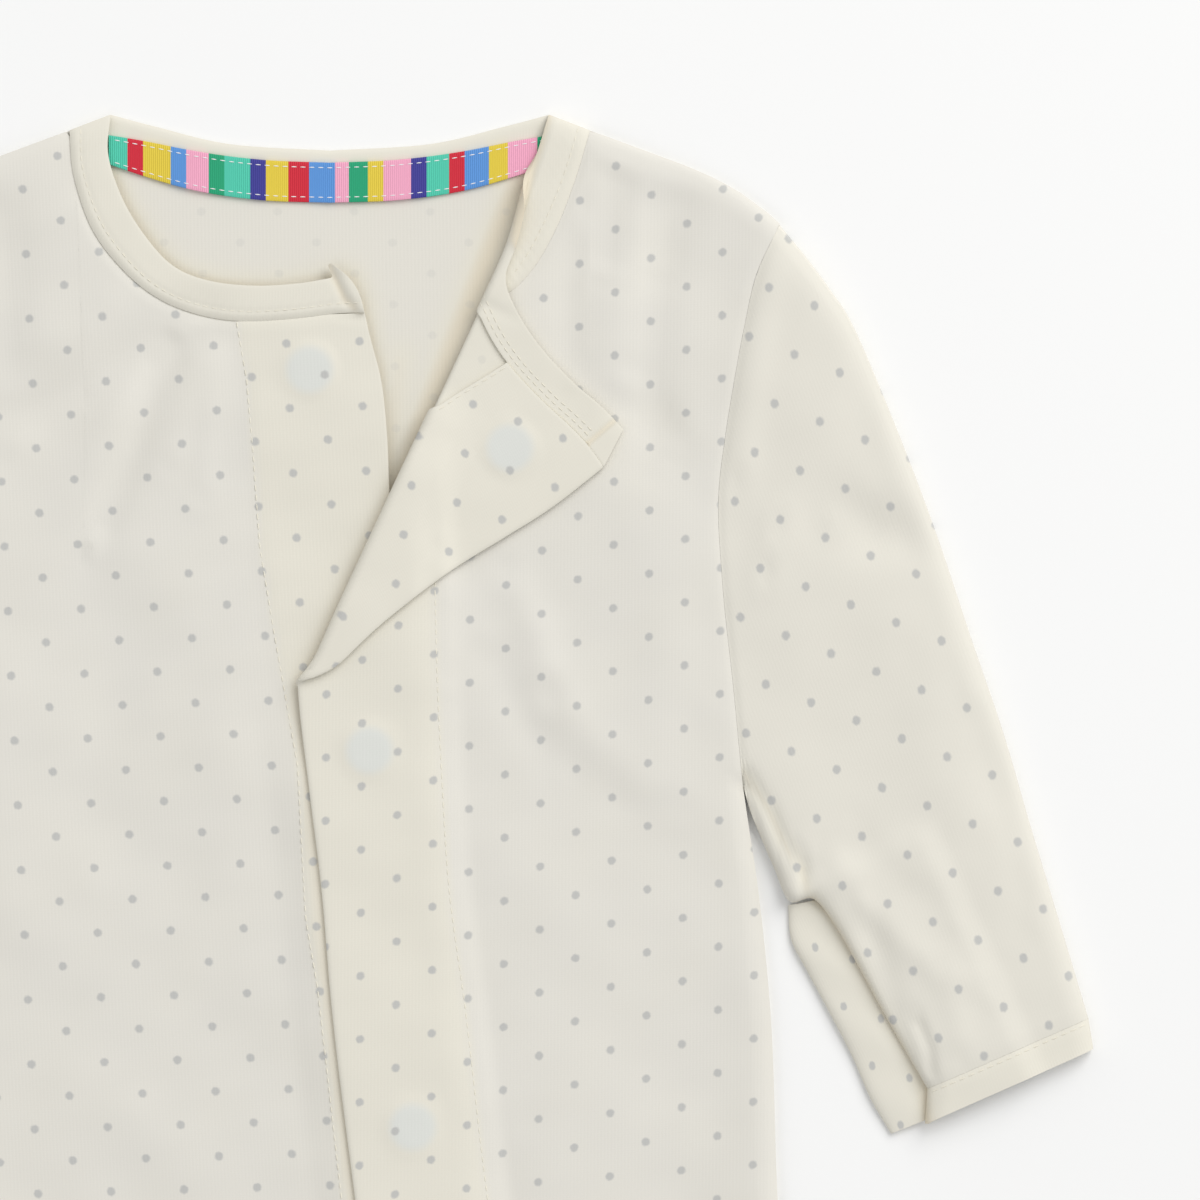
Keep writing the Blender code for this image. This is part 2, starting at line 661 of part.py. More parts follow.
def neck_tape() -> bmesh.types.BMesh:
    """The striped tape sewn over the back neck seam, its ends under the front bindings."""
    bm = bmesh.new()

    def place(u, v):
        x = (2 * v - 1) * TAPE[-1].x
        low = hermite([row.x for row in TAPE], [row.low for row in TAPE], np.abs(x))
        high = hermite([row.x for row in TAPE], [row.high for row in TAPE], np.abs(x))
        return x, low + (high - low) * u

    add_grid(bm, 1, BINDING_ROWS, place)
    thicken(bm, lying(surface, LAYER), lying(surface, LAYER + CLOTH))
    return bm


# ---- Sleeves --------------------------------------------------------------------------------------
def across_sleeve(stations, first_is_armhole: bool, across, along):
    """Flat point of a sleeve: across from its outer fold (0) to the underarm side (1)."""
    outer = station_curve(stations, "outer_x", "outer_y", along)
    inner = station_curve(stations, "inner_x", "inner_y", along)
    x, y = (a + (b - a) * across for a, b in zip(outer, inner))
    if first_is_armhole:
        # The first section bends to follow the armhole, and the bend fades out down the sleeve.
        start = across_sleeve(stations, False, across, 0.0 * along)
        bow = edge("side", start[1]) + ARMHOLE_GAP - start[0]
        x = x + bow * (1.0 - smooth_step(along / BOW_FADES))
    return x, y


def sleeve_wall(stations, first_is_armhole: bool, inner_side: bool):
    """One surface of the flattened tube: u goes round it from the outer fold, v down it."""
    inset = CLOTH if inner_side else 0.0

    def place(u, v):
        u = u % 1.0
        on_top = u <= TUBE_SIDE + 1e-6
        at_inner_rim, at_outer_rim = np.isclose(u, INNER_RIM), np.isclose(u, OUTER_RIM)
        on_rim = at_inner_rim | at_outer_rim
        over = np.clip(u / TUBE_SIDE, 0.0, 1.0)
        under = np.clip((0.5 + TUBE_SIDE - u) / TUBE_SIDE, 0.0, 1.0)
        across = np.where(on_top | at_inner_rim, over, np.where(at_outer_rim, 0.0, under))
        outer = station_curve(stations, "outer_x", "outer_y", v)
        inner = station_curve(stations, "inner_x", "inner_y", v)
        width = np.hypot(inner[0] - outer[0], inner[1] - outer[1])
        pulled = (inset + np.where(on_rim, 0.0, RIM_ROUND)) / width
        across = pulled + (1.0 - 2.0 * pulled) * across
        x, y = across_sleeve(stations, first_is_armhole, across, v)
        upper = front_base(x, y) + (0.0 if inner_side else CLOTH)
        lower = mitt_lift(x, y) + inset
        z = np.where(on_top, upper, lower)
        return x, y, np.where(on_rim, (upper + lower) / 2, z)

    return place


def tube(stations, rows: int, first_is_armhole: bool) -> bmesh.types.BMesh:
    """A flattened tube of cloth, open at both ends."""
    bm = bmesh.new()
    around = 2 * SLEEVE_TOP + 4
    run = np.linspace(0.0, TUBE_SIDE, SLEEVE_TOP + 1)
    knots = np.concatenate([run, [INNER_RIM], 0.5 + run, [OUTER_RIM, 1.0]])
    ends = []
    for inner_side in (False, True):
        made = bmesh.ops.create_grid(bm, x_segments=around, y_segments=rows, size=0.5)["verts"]
        made.sort(key=lambda vert: (round((vert.co.y + 0.5) * rows), vert.co.x))
        flat = np.array([vert.co for vert in made]) + 0.5
        step = np.round(flat[:, 0] * around).astype(int)
        wall = sleeve_wall(stations, first_is_armhole, inner_side)
        for vert, point in zip(made, np.stack(wall(knots[step], flat[:, 1]), axis=1)):
            vert.co = point
        ends.append((made[: around + 1], made[-around - 1 :]))
    for outer_end, inner_end in zip(*ends):
        for index in range(around):
            pair = slice(index, index + 2)
            bm.faces.new([*outer_end[pair], *reversed(inner_end[pair])])
    bmesh.ops.remove_doubles(bm, verts=bm.verts[:], dist=0.001)
    bmesh.ops.recalc_face_normals(bm, faces=bm.faces[:])
    return bm


class Fold(NamedTuple):
    """A line of the mitt's profile, from under the sleeve, round its own side and back to the top."""

    under: float  # share of MITT_REACH that it lies under the sleeve
    out: float  # share of the mitt's showing width
    back: float  # millimetres back from there
    rise: float  # share of the crown's height
    drop: float  # millimetres off that height


MITT_FOLDS = (
    Fold(1.0, 0.0, 0.0, 0.0, 0.0),
    Fold(0.5, 0.0, 0.0, 0.0, 0.0),
    Fold(0.0, 0.0, 0.0, 0.0, 0.0),
    Fold(0.0, 1.0, 2.1, 0.0, 0.0),
    Fold(0.0, 1.0, 0.5, 0.45, 0.0),
    Fold(0.0, 1.0, 2.1, 0.8, 0.0),
    Fold(0.0, 0.5, 0.0, 1.0, 0.0),
    Fold(0.0, 0.2, 0.0, 1.0, 0.15),
    Fold(0.0, 0.0, -0.8, 1.0, 0.6),
)
MITT_ROWS = 12


def mitt() -> bmesh.types.BMesh:
    """The mitten cuff folded to the back of the sleeve: under it, round its inner side and up."""
    bm = bmesh.new()
    across = len(MITT_FOLDS) - 1
    made = bmesh.ops.create_grid(bm, x_segments=across, y_segments=MITT_ROWS, size=0.5)["verts"]
    for vert in made:
        fold, share = MITT_FOLDS[round((vert.co.x + 0.5) * across)], vert.co.y + 0.5
        valley = np.array(station_curve(MITT, "valley_x", "valley_y", share))
        outer = np.array(station_curve(MITT, "outer_x", "outer_y", share))
        crown = hermite(np.linspace(0.0, 1.0, len(MITT)), [row.crown for row in MITT], share)
        width = np.hypot(*(outer - valley))
        out = (fold.out * width - fold.back) * (outer - valley) / width
        place = valley + fold.under * MITT_REACH * CUFF_ACROSS + out
        vert.co = (*place, max(fold.rise * crown - fold.drop, CLOTH / 2))
    bmesh.ops.recalc_face_normals(bm, faces=bm.faces[:])
    bmesh.ops.solidify(bm, geom=bm.faces[:], thickness=CLOTH / 2)
    return bm


# ---- Magnets --------------------------------------------------------------------------------------
def disc(x: float, y: float, low: float) -> bmesh.types.BMesh:
    """A closing magnet, flat between two layers."""
    bm = bmesh.new()
    bmesh.ops.create_cone(
        bm,
        cap_ends=True,
        segments=16,
        radius1=MAGNET_RADIUS,
        radius2=MAGNET_RADIUS,
        depth=MAGNET_THICK,
    )
    bmesh.ops.translate(bm, verts=bm.verts[:], vec=(x, y, low + MAGNET_THICK / 2))
    return bm


def left_magnet(place: tuple[float, float]) -> bmesh.types.BMesh:
    """A magnet between the left front and its facing: low side nearest the surface."""
    ends = [left_front(*map(np.float64, place), depth) for depth in (LAYER, LAYER + MAGNET_THICK)]
    low = min(float(end[2]) for end in ends)
    return disc(float(ends[0][0]), float(ends[0][1]), low)


def right_magnet(place: tuple[float, float]) -> bmesh.types.BMesh:
    """A magnet just under the right front."""
    return disc(*place, float(front_base(*place)) - GAP - MAGNET_THICK)


# ---- Materials and scene --------------------------------------------------------------------------
class Finish(NamedTuple):
    """Base colour (linear), roughness and metallic value of a material."""

    colour: tuple[float, float, float]
    roughness: float
    metallic: float


FINISHES = {
    "dotted_jersey": Finish((0.81, 0.79, 0.69), 0.9, 0.0),
    "binding_jersey": Finish((0.83, 0.80, 0.68), 0.9, 0.0),
    "neck_tape": Finish((0.75, 0.35, 0.50), 0.7, 0.0),
    "magnet": Finish((0.35, 0.37, 0.40), 0.35, 1.0),
}


def material(name: str) -> bpy.types.Material:
    """The named finish as a material, made once."""
    found = bpy.data.materials.get(name)
    if found:
        return found
    made = bpy.data.materials.new(name)
    made.use_nodes = True
    shader = made.node_tree.nodes["Principled BSDF"]
    finish = FINISHES[name]
    shader.inputs["Base Color"].default_value = (*finish.colour, 1.0)
    shader.inputs["Roughness"].default_value = finish.roughness
    shader.inputs["Metallic"].default_value = finish.metallic
    return made


def add_piece(name: str, bm: bmesh.types.BMesh, finish: str) -> None:
    """Makes the mesh, so far in millimetres, an object of the scene."""
    bmesh.ops.scale(bm, vec=(METRES,) * 3, verts=bm.verts[:])
    mesh = bpy.data.meshes.new(name)
    bm.to_mesh(mesh)
    bm.free()
    mesh.materials.append(material(finish))
    mesh.shade_smooth()
    mesh.set_sharp_from_angle(angle=math.radians(50))
    bpy.context.scene.collection.objects.link(bpy.data.objects.new(name, mesh))


def main() -> None:
    for old in list(bpy.data.objects):
        bpy.data.objects.remove(old)
    add_piece("back_body", back_body(), "dotted_jersey")
    add_piece("front_right", front_right(), "dotted_jersey")
    add_piece("front_left", front_left(), "dotted_jersey")
    add_piece("placket_facing", placket_facing(), "dotted_jersey")
    add_piece("neck_binding_back", neck_binding_back(), "binding_jersey")
    add_piece("neck_binding_right", neck_binding_right(), "binding_jersey")
    add_piece("neck_binding_left", neck_binding_left(), "binding_jersey")
    add_piece("neck_tape", neck_tape(), "neck_tape")
    for side, turn in (("left", lambda bm: bm), ("right", mirror)):
        add_piece(f"sleeve_{side}", turn(tube(SLEEVE, SLEEVE_ROWS, True)), "dotted_jersey")
        add_piece(f"sleeve_hem_{side}", turn(tube(SLEEVE_HEM, 1, False)), "binding_jersey")
        add_piece(f"mitt_{side}", turn(mitt()), "dotted_jersey")
    for number, (left, right) in enumerate(zip(LEFT_MAGNETS, RIGHT_MAGNETS), start=1):
        add_piece(f"magnet_left_{number}", left_magnet(left), "magnet")
        add_piece(f"magnet_right_{number}", right_magnet(right), "magnet")


main()
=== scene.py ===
"""Baby coverall in dotted jersey: the cloth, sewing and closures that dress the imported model.

The garment lies on its back, neck towards +Y, with the top corner of its left front turned open.
Sizes are in millimetres until a piece is finished; "left" and "right" are the wearer's.
"""

from __future__ import annotations

import logging
import math
from dataclasses import dataclass, field
from enum import Enum
from typing import Callable, NamedTuple, Sequence

import bmesh
import bpy
import numpy as np
from mathutils import Matrix, Vector

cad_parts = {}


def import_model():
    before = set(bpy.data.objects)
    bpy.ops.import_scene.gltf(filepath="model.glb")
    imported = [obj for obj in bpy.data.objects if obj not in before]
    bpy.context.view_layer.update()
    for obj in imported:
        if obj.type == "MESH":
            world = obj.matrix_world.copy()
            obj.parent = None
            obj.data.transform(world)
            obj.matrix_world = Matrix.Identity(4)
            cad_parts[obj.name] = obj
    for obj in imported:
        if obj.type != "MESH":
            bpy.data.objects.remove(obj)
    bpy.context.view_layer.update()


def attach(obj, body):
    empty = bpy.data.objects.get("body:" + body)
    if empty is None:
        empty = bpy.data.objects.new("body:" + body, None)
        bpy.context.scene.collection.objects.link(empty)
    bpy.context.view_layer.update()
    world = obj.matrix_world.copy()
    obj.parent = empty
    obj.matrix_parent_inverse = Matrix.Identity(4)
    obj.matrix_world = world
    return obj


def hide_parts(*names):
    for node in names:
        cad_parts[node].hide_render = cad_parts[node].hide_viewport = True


LOG = logging.getLogger("coverall")
MM = 0.001
Array = np.ndarray
Place = Callable[[Array, Array], Sequence[Array]]
Side = Callable[[Array, Array], Sequence[Array]]


class Slot(Enum):
    """The record's material slots."""

    DOTTED = "dotted_jersey"
    BINDING = "binding_jersey"
    TAPE = "neck_tape"
    MAGNET = "magnet"


class Half(Enum):
    """Which of a pair of twins a piece is: the sign of its x."""

    LEFT = 1
    RIGHT = -1


# ---- The flat pattern -----------------------------------------------------------------------------
class Level(NamedTuple):
    """The body's cut edges at one height: each is an x, on the +X half."""

    y: float
    side: float
    inner: float
    closed: float
    stitch: float
    under: float


class NeckStation(NamedTuple):
    """A crossing of a neck binding: its seam and its open edge."""

    seam_x: float
    seam_y: float
    edge_x: float
    edge_y: float


class TapeStation(NamedTuple):
    """Half of the back neck tape: its lower and upper edge at x."""

    x: float
    low: float
    high: float


class SleeveStation(NamedTuple):
    """A section of the flat sleeve, from its outer fold to its underarm side."""

    outer_x: float
    outer_y: float
    inner_x: float
    inner_y: float


class MittStation(NamedTuple):
    """A crossing of the folded mitten cuff, and the height of its upper side."""

    valley_x: float
    valley_y: float
    outer_x: float
    outer_y: float
    crown: float


LEVELS = (
    Level(-280.5, 106.1, 26.0, 40.0, 76.0, 65.0),
    Level(-210.0, 112.0, 18.2, 35.0, 71.0, 60.0),
    Level(-150.0, 117.8, 10.6, 29.5, 65.0, 54.5),
    Level(-103.0, 120.8, 0.0, 22.5, 58.0, 47.5),
    Level(-60.0, 119.9, 0.0, 15.0, 50.5, 40.5),
    Level(0.0, 116.3, 0.0, 6.5, 41.5, 31.8),
    Level(50.0, 114.3, 0.0, 0.4, 35.6, 25.0),
    Level(80.0, 111.2, 0.0, -2.2, 31.6, 22.3),
    Level(106.0, 107.4, 0.0, -5.4, 29.9, 20.3),
    Level(131.0, 104.9, 0.0, -8.2, 28.7, 18.5),
    Level(160.0, 101.9, 0.0, -8.0, 27.9, 16.9),
    Level(182.0, 101.0, 0.0, -9.2, 27.2, 15.3),
    Level(198.0, 102.9, 0.0, -11.6, 26.4, 14.6),
    Level(211.0, 105.0, 0.0, -13.4, 25.2, 13.2),
    Level(225.0, 107.6, 0.0, -14.0, 23.2, 9.7),
    Level(240.0, 111.2, 0.0, -14.2, 22.0, 7.0),
    Level(252.2, 116.9, 0.0, -14.2, 22.0, 7.0),
    Level(266.8, 122.0, 0.0, -14.2, 22.0, 7.0),
)
NECK = (  # from the shoulder to the closed edge
    NeckStation(67.6, 276.4, 56.9, 280.5),
    NeckStation(66.4, 264.4, 57.5, 270.0),
    NeckStation(61.4, 250.2, 53.4, 257.8),
    NeckStation(52.8, 239.2, 46.6, 247.2),
    NeckStation(44.0, 232.4, 39.8, 240.6),
    NeckStation(34.1, 228.5, 30.8, 237.2),
    NeckStation(22.9, 226.8, 19.5, 236.0),
    NeckStation(9.6, 227.4, 8.0, 236.6),
    NeckStation(0.0, 228.6, 0.0, 237.9),
    NeckStation(-7.4, 229.0, -4.6, 238.4),
    NeckStation(-14.0, 228.5, -9.8, 238.6),
)
LEFT_NECK = (  # the same on the wearer's left, pulled open by its turned corner
    NECK[0],
    NeckStation(63.9, 263.9, 53.0, 268.2),
    NeckStation(58.6, 250.3, 48.0, 257.9),
    NeckStation(51.9, 239.2, 43.9, 248.3),
    *NECK[4:],
)
BACK_NECK = (
    NeckStation(0.0, 261.5, 0.0, 271.2),
    NeckStation(26.0, 263.0, 26.0, 272.9),
    NeckStation(46.0, 268.0, 45.2, 277.4),
    NeckStation(67.6, 276.4, 56.9, 280.5),
)
TAPE = (
    TapeStation(0.0, 257.6, 268.0),
    TapeStation(18.0, 258.3, 268.8),
    TapeStation(36.0, 261.0, 271.2),
    TapeStation(48.0, 264.4, 273.6),
    TapeStation(57.5, 267.6, 275.2),
)
SLEEVE = (
    SleeveStation(117.6, 251.9, 107.9, 105.3),
    SleeveStation(124.5, 243.4, 109.8, 98.8),
    SleeveStation(130.2, 235.4, 112.5, 92.0),
    SleeveStation(136.5, 225.0, 115.6, 84.6),
    SleeveStation(147.5, 198.5, 119.4, 76.2),
    SleeveStation(157.5, 172.0, 125.7, 76.7),
    SleeveStation(166.5, 145.0, 131.4, 69.6),
    SleeveStation(175.0, 120.0, 137.2, 59.4),
    SleeveStation(182.3, 95.0, 142.6, 49.4),
    SleeveStation(190.0, 69.5, 148.6, 38.8),
    SleeveStation(197.1, 45.8, 155.2, 27.6),
)
SLEEVE_HEM = (
    SleeveStation(197.12, 45.77, 155.22, 27.57),
    SleeveStation(198.4, 37.8, 154.6, 18.4),
)
MITT = (
    MittStation(125.2, 76.2, 118.9, 75.0, 3.0),
    MittStation(130.5, 69.6, 119.6, 66.0, 3.9),
    MittStation(136.3, 59.4, 123.6, 58.0, 4.3),
    MittStation(141.6, 49.4, 129.4, 47.2, 4.4),
    MittStation(147.6, 38.8, 135.4, 35.6, 4.2),
    MittStation(151.8, 29.6, 140.2, 24.6, 3.9),
    MittStation(154.0, 19.0, 145.6, 15.6, 3.4),
)
LEFT_MAGNETS = ((5.5, 213.1), (10.4, 115.4), (21.6, 17.7), (37.6, -79.6), (53.2, -177.0))
RIGHT_MAGNETS = ((-5.2, 214.2), (10.0, 115.4), (18.4, 17.7), (32.6, -79.6), (47.2, -177.0))
RIGHT_STITCH = (  # the right placket's stitching, from its neck end down to the hem
    (-24.4, 228.0), (-21.6, 212.0), (-20.0, 194.0), (-18.2, 168.7), (-14.6, 147.0),
    (-8.3, 111.5), (-6.2, 72.0), (-3.1, 53.8), (-0.6, 32.0), (3.0, 0.0), (11.6, -60.0),
    (19.2, -103.0), (26.2, -150.0), (31.6, -210.0), (36.6, -280.0),
)
CLOSED_SLACK = 1.7  # both walls of the closed edge, one on the other
FAR = 50.0  # a cloth point's distance to the closing magnets where it has none
STRIP_FILL = 0.4  # a piece that fills less of its box than this is a bent strip
LEAST_SIZE = 10.0  # the least width or length that is worked out for a strip or a tube


# ---- Curves ---------------------------------------------------------------------------------------
def smooth_step(value: Array | float) -> Array:
    """Gives 0 below 0, 1 above 1, and a soft S between."""
    clipped = np.clip(value, 0.0, 1.0)
    return clipped * clipped * (3.0 - 2.0 * clipped)


def hermite(stations: Sequence[float], values: Sequence[float], at: Array | float) -> Array:
    """Reads a smooth curve through values at rising stations.

    Args:
        stations: where the values stand, rising.
        values: the curve's values there.
        at: where it is read.

    Returns:
        The curve at each of those places.
    """
    stations, values, at = (np.asarray(item, float) for item in (stations, values, at))
    slope = np.gradient(values, stations)
    index = np.clip(np.searchsorted(stations, at) - 1, 0, len(stations) - 2)
    span = stations[index + 1] - stations[index]
    share = np.clip((at - stations[index]) / span, 0.0, 1.0)
    square, cube = share**2, share**3
    return (
        (2 * cube - 3 * square + 1) * values[index]
        + (cube - 2 * square + share) * span * slope[index]
        + (3 * square - 2 * cube) * values[index + 1]
        + (cube - square) * span * slope[index + 1]
    )


def edge(column: str, y: Array | float) -> Array:
    """Gives the x of one of the body's cut edges at height y."""
    read = np.interp if column == "inner" else lambda at, ys, xs: hermite(ys, xs, at)
    return read(y, [level.y for level in LEVELS], [getattr(level, column) for level in LEVELS])


def station_curve(stations: Sequence[NamedTuple], name: str, share: Array | float) -> tuple:
    """Reads a table's columns name_x and name_y as a smooth curve.

    Args:
        stations: the table's rows.
        name: the columns' common name.
        share: how far along the rows, from 0 to 1.

    Returns:
        The curve's x and y there.
    """
    knots = np.linspace(0.0, 1.0, len(stations))
    return tuple(
        hermite(knots, [getattr(row, f"{name}_{axis}") for row in stations], share) for axis in "xy"
    )


def bent_line(stations: Sequence[NamedTuple], name: str, share: Array) -> Array:
    """Gives the points at shares of a table's rows as a bent line, one row each."""
    return np.stack(station_curve(stations, name, share), axis=1)


def edge_line(column: str, y: Array) -> Array:
    """Gives one of the body's cut edges at heights y as a bent line, one row each."""
    return np.stack([edge(column, y), y], axis=1)


def right_stitch(y: Array) -> Array:
    """Gives the x of the right placket's stitching at height y."""
    line = np.array(RIGHT_STITCH)[::-1]
    return np.interp(y, line[:, 1], line[:, 0])


def distance_to(line: Sequence[Sequence[float]], x: Array, y: Array) -> Array:
    """Gives each point's distance to a bent line.

    Args:
        line: the line's points.
        x: each point's x.
        y: each point's y.

    Returns:
        The least distance to any of the line's parts.
    """
    best = np.full(np.shape(x), np.inf)
    for (ax, ay), (bx, by) in zip(line[:-1], line[1:]):
        dx, dy = bx - ax, by - ay
        share = np.clip(((x - ax) * dx + (y - ay) * dy) / (dx * dx + dy * dy), 0.0, 1.0)
        best = np.minimum(best, np.hypot(x - ax - share * dx, y - ay - share * dy))
    return best


def crease_spread(line: Sequence[Sequence[float]], width: float, x: Array, y: Array) -> Array:
    """Gives a crease's share at each point.

    Args:
        line: the crease's points.
        width: how far it reaches to each side.
        x: each point's x.
        y: each point's y.

    Returns:
        1 on its line, fading across it and towards its ends.
    """
    ends = [np.hypot(x - ex, y - ey) for ex, ey in (line[0], line[-1])]
    length = sum(math.dist(a, b) for a, b in zip(line[:-1], line[1:]))
    fade = smooth_step(np.minimum(*ends) / min(0.45 * length, 2.2 * width) + 0.12)
    return fade * np.exp(-((distance_to(line, x, y) / width) ** 2))


def neck_point(
    stations: Sequence[NeckStation], side: str, share: Array | float, inset: float = 0.0
) -> tuple[Array, Array]:
    """Gives a point of a neck's seam or open edge.

    Args:
        stations: the neck's crossings.
        side: "seam" or "edge".
        share: how far along the neck, from 0 to 1.
        inset: how far the point is moved along the crossing, away from the other side.

    Returns:
        Its x and y.
    """
    x, y = station_curve(stations, side, share)
    ox, oy = station_curve(stations, "edge" if side == "seam" else "seam", share)
    length = np.hypot(ox - x, oy - y)
    return x - inset * (ox - x) / length, y - inset * (oy - y) / length


# ---- Creases --------------------------------------------------------------------------------------
class Crease(NamedTuple):
    """A soft ridge (height > 0) or trough along a bent line of points, in the top layer."""

    points: tuple[tuple[float, float], ...]
    width: float
    height: float


UNDERARM_LINE = ((107.4, 109.5), (114.4, 99.3), (117.5, 91.5), (122.2, 86.1), (124.0, 79.0))
CREASES = (
    Crease(UNDERARM_LINE, 1.7, -0.7),
    # the wearer's left shoulder and sleeve
    Crease(((118.5, 246.0), (112.5, 231.0), (108.8, 207.0), (105.4, 184.0)), 4.6, 0.7),
    Crease(((88.4, 264.0), (84.6, 241.0), (83.0, 214.0), (86.0, 189.0)), 5.5, -0.8),
    Crease(((77.7, 262.0), (77.0, 236.0), (74.1, 203.0)), 6.0, 0.5),
    Crease(((64.0, 254.0), (61.5, 232.0), (63.0, 210.0)), 4.5, -0.4),
    Crease(((116.5, 174.0), (113.4, 161.0)), 5.0, 0.45),
    Crease(((130.0, 175.0), (143.0, 172.0), (160.0, 170.0)), 6.5, -1.1),
    Crease(((140.0, 236.0), (141.0, 212.0), (138.0, 184.0)), 7.0, -0.5),
    Crease(((150.0, 140.0), (158.0, 112.0), (170.0, 88.0)), 8.0, 0.4),
    Crease(((166.0, 132.0), (176.0, 100.0), (183.0, 70.0)), 5.0, -0.4),
    Crease(((138.0, 76.0), (145.6, 50.4), (152.0, 25.0)), 4.5, -0.8),
    Crease(((151.8, 47.0), (155.5, 38.0), (156.5, 29.0)), 1.6, -0.55),
    Crease(((158.0, 60.0), (163.0, 46.0), (164.0, 34.0)), 4.0, 0.35),
    Crease(((75.0, 268.0), (73.0, 252.0), (72.0, 238.0)), 3.0, -0.8),
    Crease(((95.0, 262.0), (88.0, 250.0), (86.0, 240.0)), 4.0, -0.5),
    Crease(((76.0, 211.0), (82.0, 203.0), (88.0, 194.0)), 6.0, -0.6),
    Crease(((127.0, 92.0), (142.0, 72.0), (158.0, 58.0), (172.0, 54.0)), 4.0, 0.45),
    Crease(((133.0, 96.0), (149.0, 80.0), (163.0, 70.0)), 5.0, -0.4),
    # the wearer's left front below the turned corner
    Crease(((45.0, 164.0), (54.0, 146.0), (58.0, 128.0)), 5.0, 0.5),
    Crease(((56.0, 132.0), (70.0, 116.0), (92.0, 100.0)), 6.0, 0.5),
    Crease(((40.0, 146.0), (50.0, 124.0), (60.0, 108.0)), 5.0, -0.3),
    Crease(((28.0, 168.0), (33.0, 152.0), (31.0, 134.0)), 4.0, 0.35),
    Crease(((84.0, 176.0), (88.0, 140.0), (85.0, 100.0)), 8.0, 0.35),
    Crease(((98.0, 128.0), (90.0, 112.0), (78.0, 104.0)), 5.0, -0.35),
    Crease(((52.0, 20.0), (60.0, -30.0), (72.0, -90.0)), 10.0, 0.45),
    Crease(((92.0, 20.0), (96.0, -40.0), (92.0, -110.0)), 11.0, -0.45),
    Crease(((84.0, -150.0), (88.0, -200.0), (84.0, -262.0)), 9.0, -0.5),
    Crease(((30.0, -118.0), (46.0, -132.0), (64.0, -138.0)), 6.0, -0.4),
    # the wearer's right: the same shoulder, and gathers spreading from the neck
    Crease(((-114.0, 242.0), (-109.0, 226.0), (-107.0, 206.0), (-104.0, 186.0)), 4.2, 1.1),
    Crease(((-87.0, 263.0), (-84.0, 238.0), (-84.6, 208.0)), 5.5, -0.7),
    Crease(((-36.0, 226.0), (-50.0, 218.0), (-68.0, 208.0), (-82.0, 194.0)), 6.5, -1.1),
    Crease(((-51.0, 236.0), (-64.0, 226.0), (-78.0, 218.0)), 5.0, 0.3),
    Crease(((-39.0, 224.5), (-46.0, 210.0), (-51.0, 193.0), (-62.0, 168.0)), 4.5, -0.9),
    Crease(((-44.0, 221.0), (-56.0, 204.0), (-66.0, 186.0)), 4.5, 0.3),
    Crease(((-33.0, 222.0), (-37.0, 206.0), (-42.0, 188.0)), 3.5, 0.25),
    Crease(((-29.5, 224.0), (-31.0, 205.0), (-33.0, 180.0)), 3.6, 0.3),
    Crease(((-60.0, 170.0), (-56.0, 130.0), (-62.0, 80.0)), 10.0, -0.35),
    Crease(((-30.0, 150.0), (-26.0, 110.0), (-28.0, 60.0)), 9.0, 0.3),
    Crease(((-86.0, 150.0), (-90.0, 110.0), (-84.0, 60.0)), 9.0, 0.35),
    Crease(((-50.0, 20.0), (-54.0, -50.0), (-64.0, -110.0)), 11.0, -0.45),
    Crease(((-94.0, 30.0), (-98.0, -40.0), (-94.0, -100.0)), 10.0, 0.4),
    Crease(((-70.0, -160.0), (-74.0, -210.0), (-68.0, -268.0)), 9.0, -0.5),
    Crease(((-18.0, -96.0), (-36.0, -116.0), (-58.0, -124.0)), 6.0, -0.45),
    Crease(((-141.0, 168.0), (-154.0, 171.5)), 4.0, -0.5),
    Crease(((-126.0, 232.0), (-131.0, 200.0), (-138.0, 172.0)), 7.0, -0.35),
    Crease(((-152.0, 136.0), (-162.0, 108.0), (-172.0, 84.0)), 8.0, 0.4),
    Crease(((-136.0, 78.0), (-144.5, 52.0), (-151.5, 26.0)), 4.5, -0.7),
)


class Swell(NamedTuple):
    """One of the long soft waves that keep lying cloth from being flat."""

    length: float
    turn: float
    phase: float
    height: float


SWELLS = (
    Swell(61.0, 0.35, 0.4, 0.13),
    Swell(47.0, 1.25, 2.1, 0.11),
    Swell(33.0, 2.30, 4.0, 0.08),
    Swell(23.0, 0.85, 1.3, 0.05),
    Swell(17.0, 2.75, 5.2, 0.035),
    Swell(11.0, 1.70, 3.3, 0.02),
)


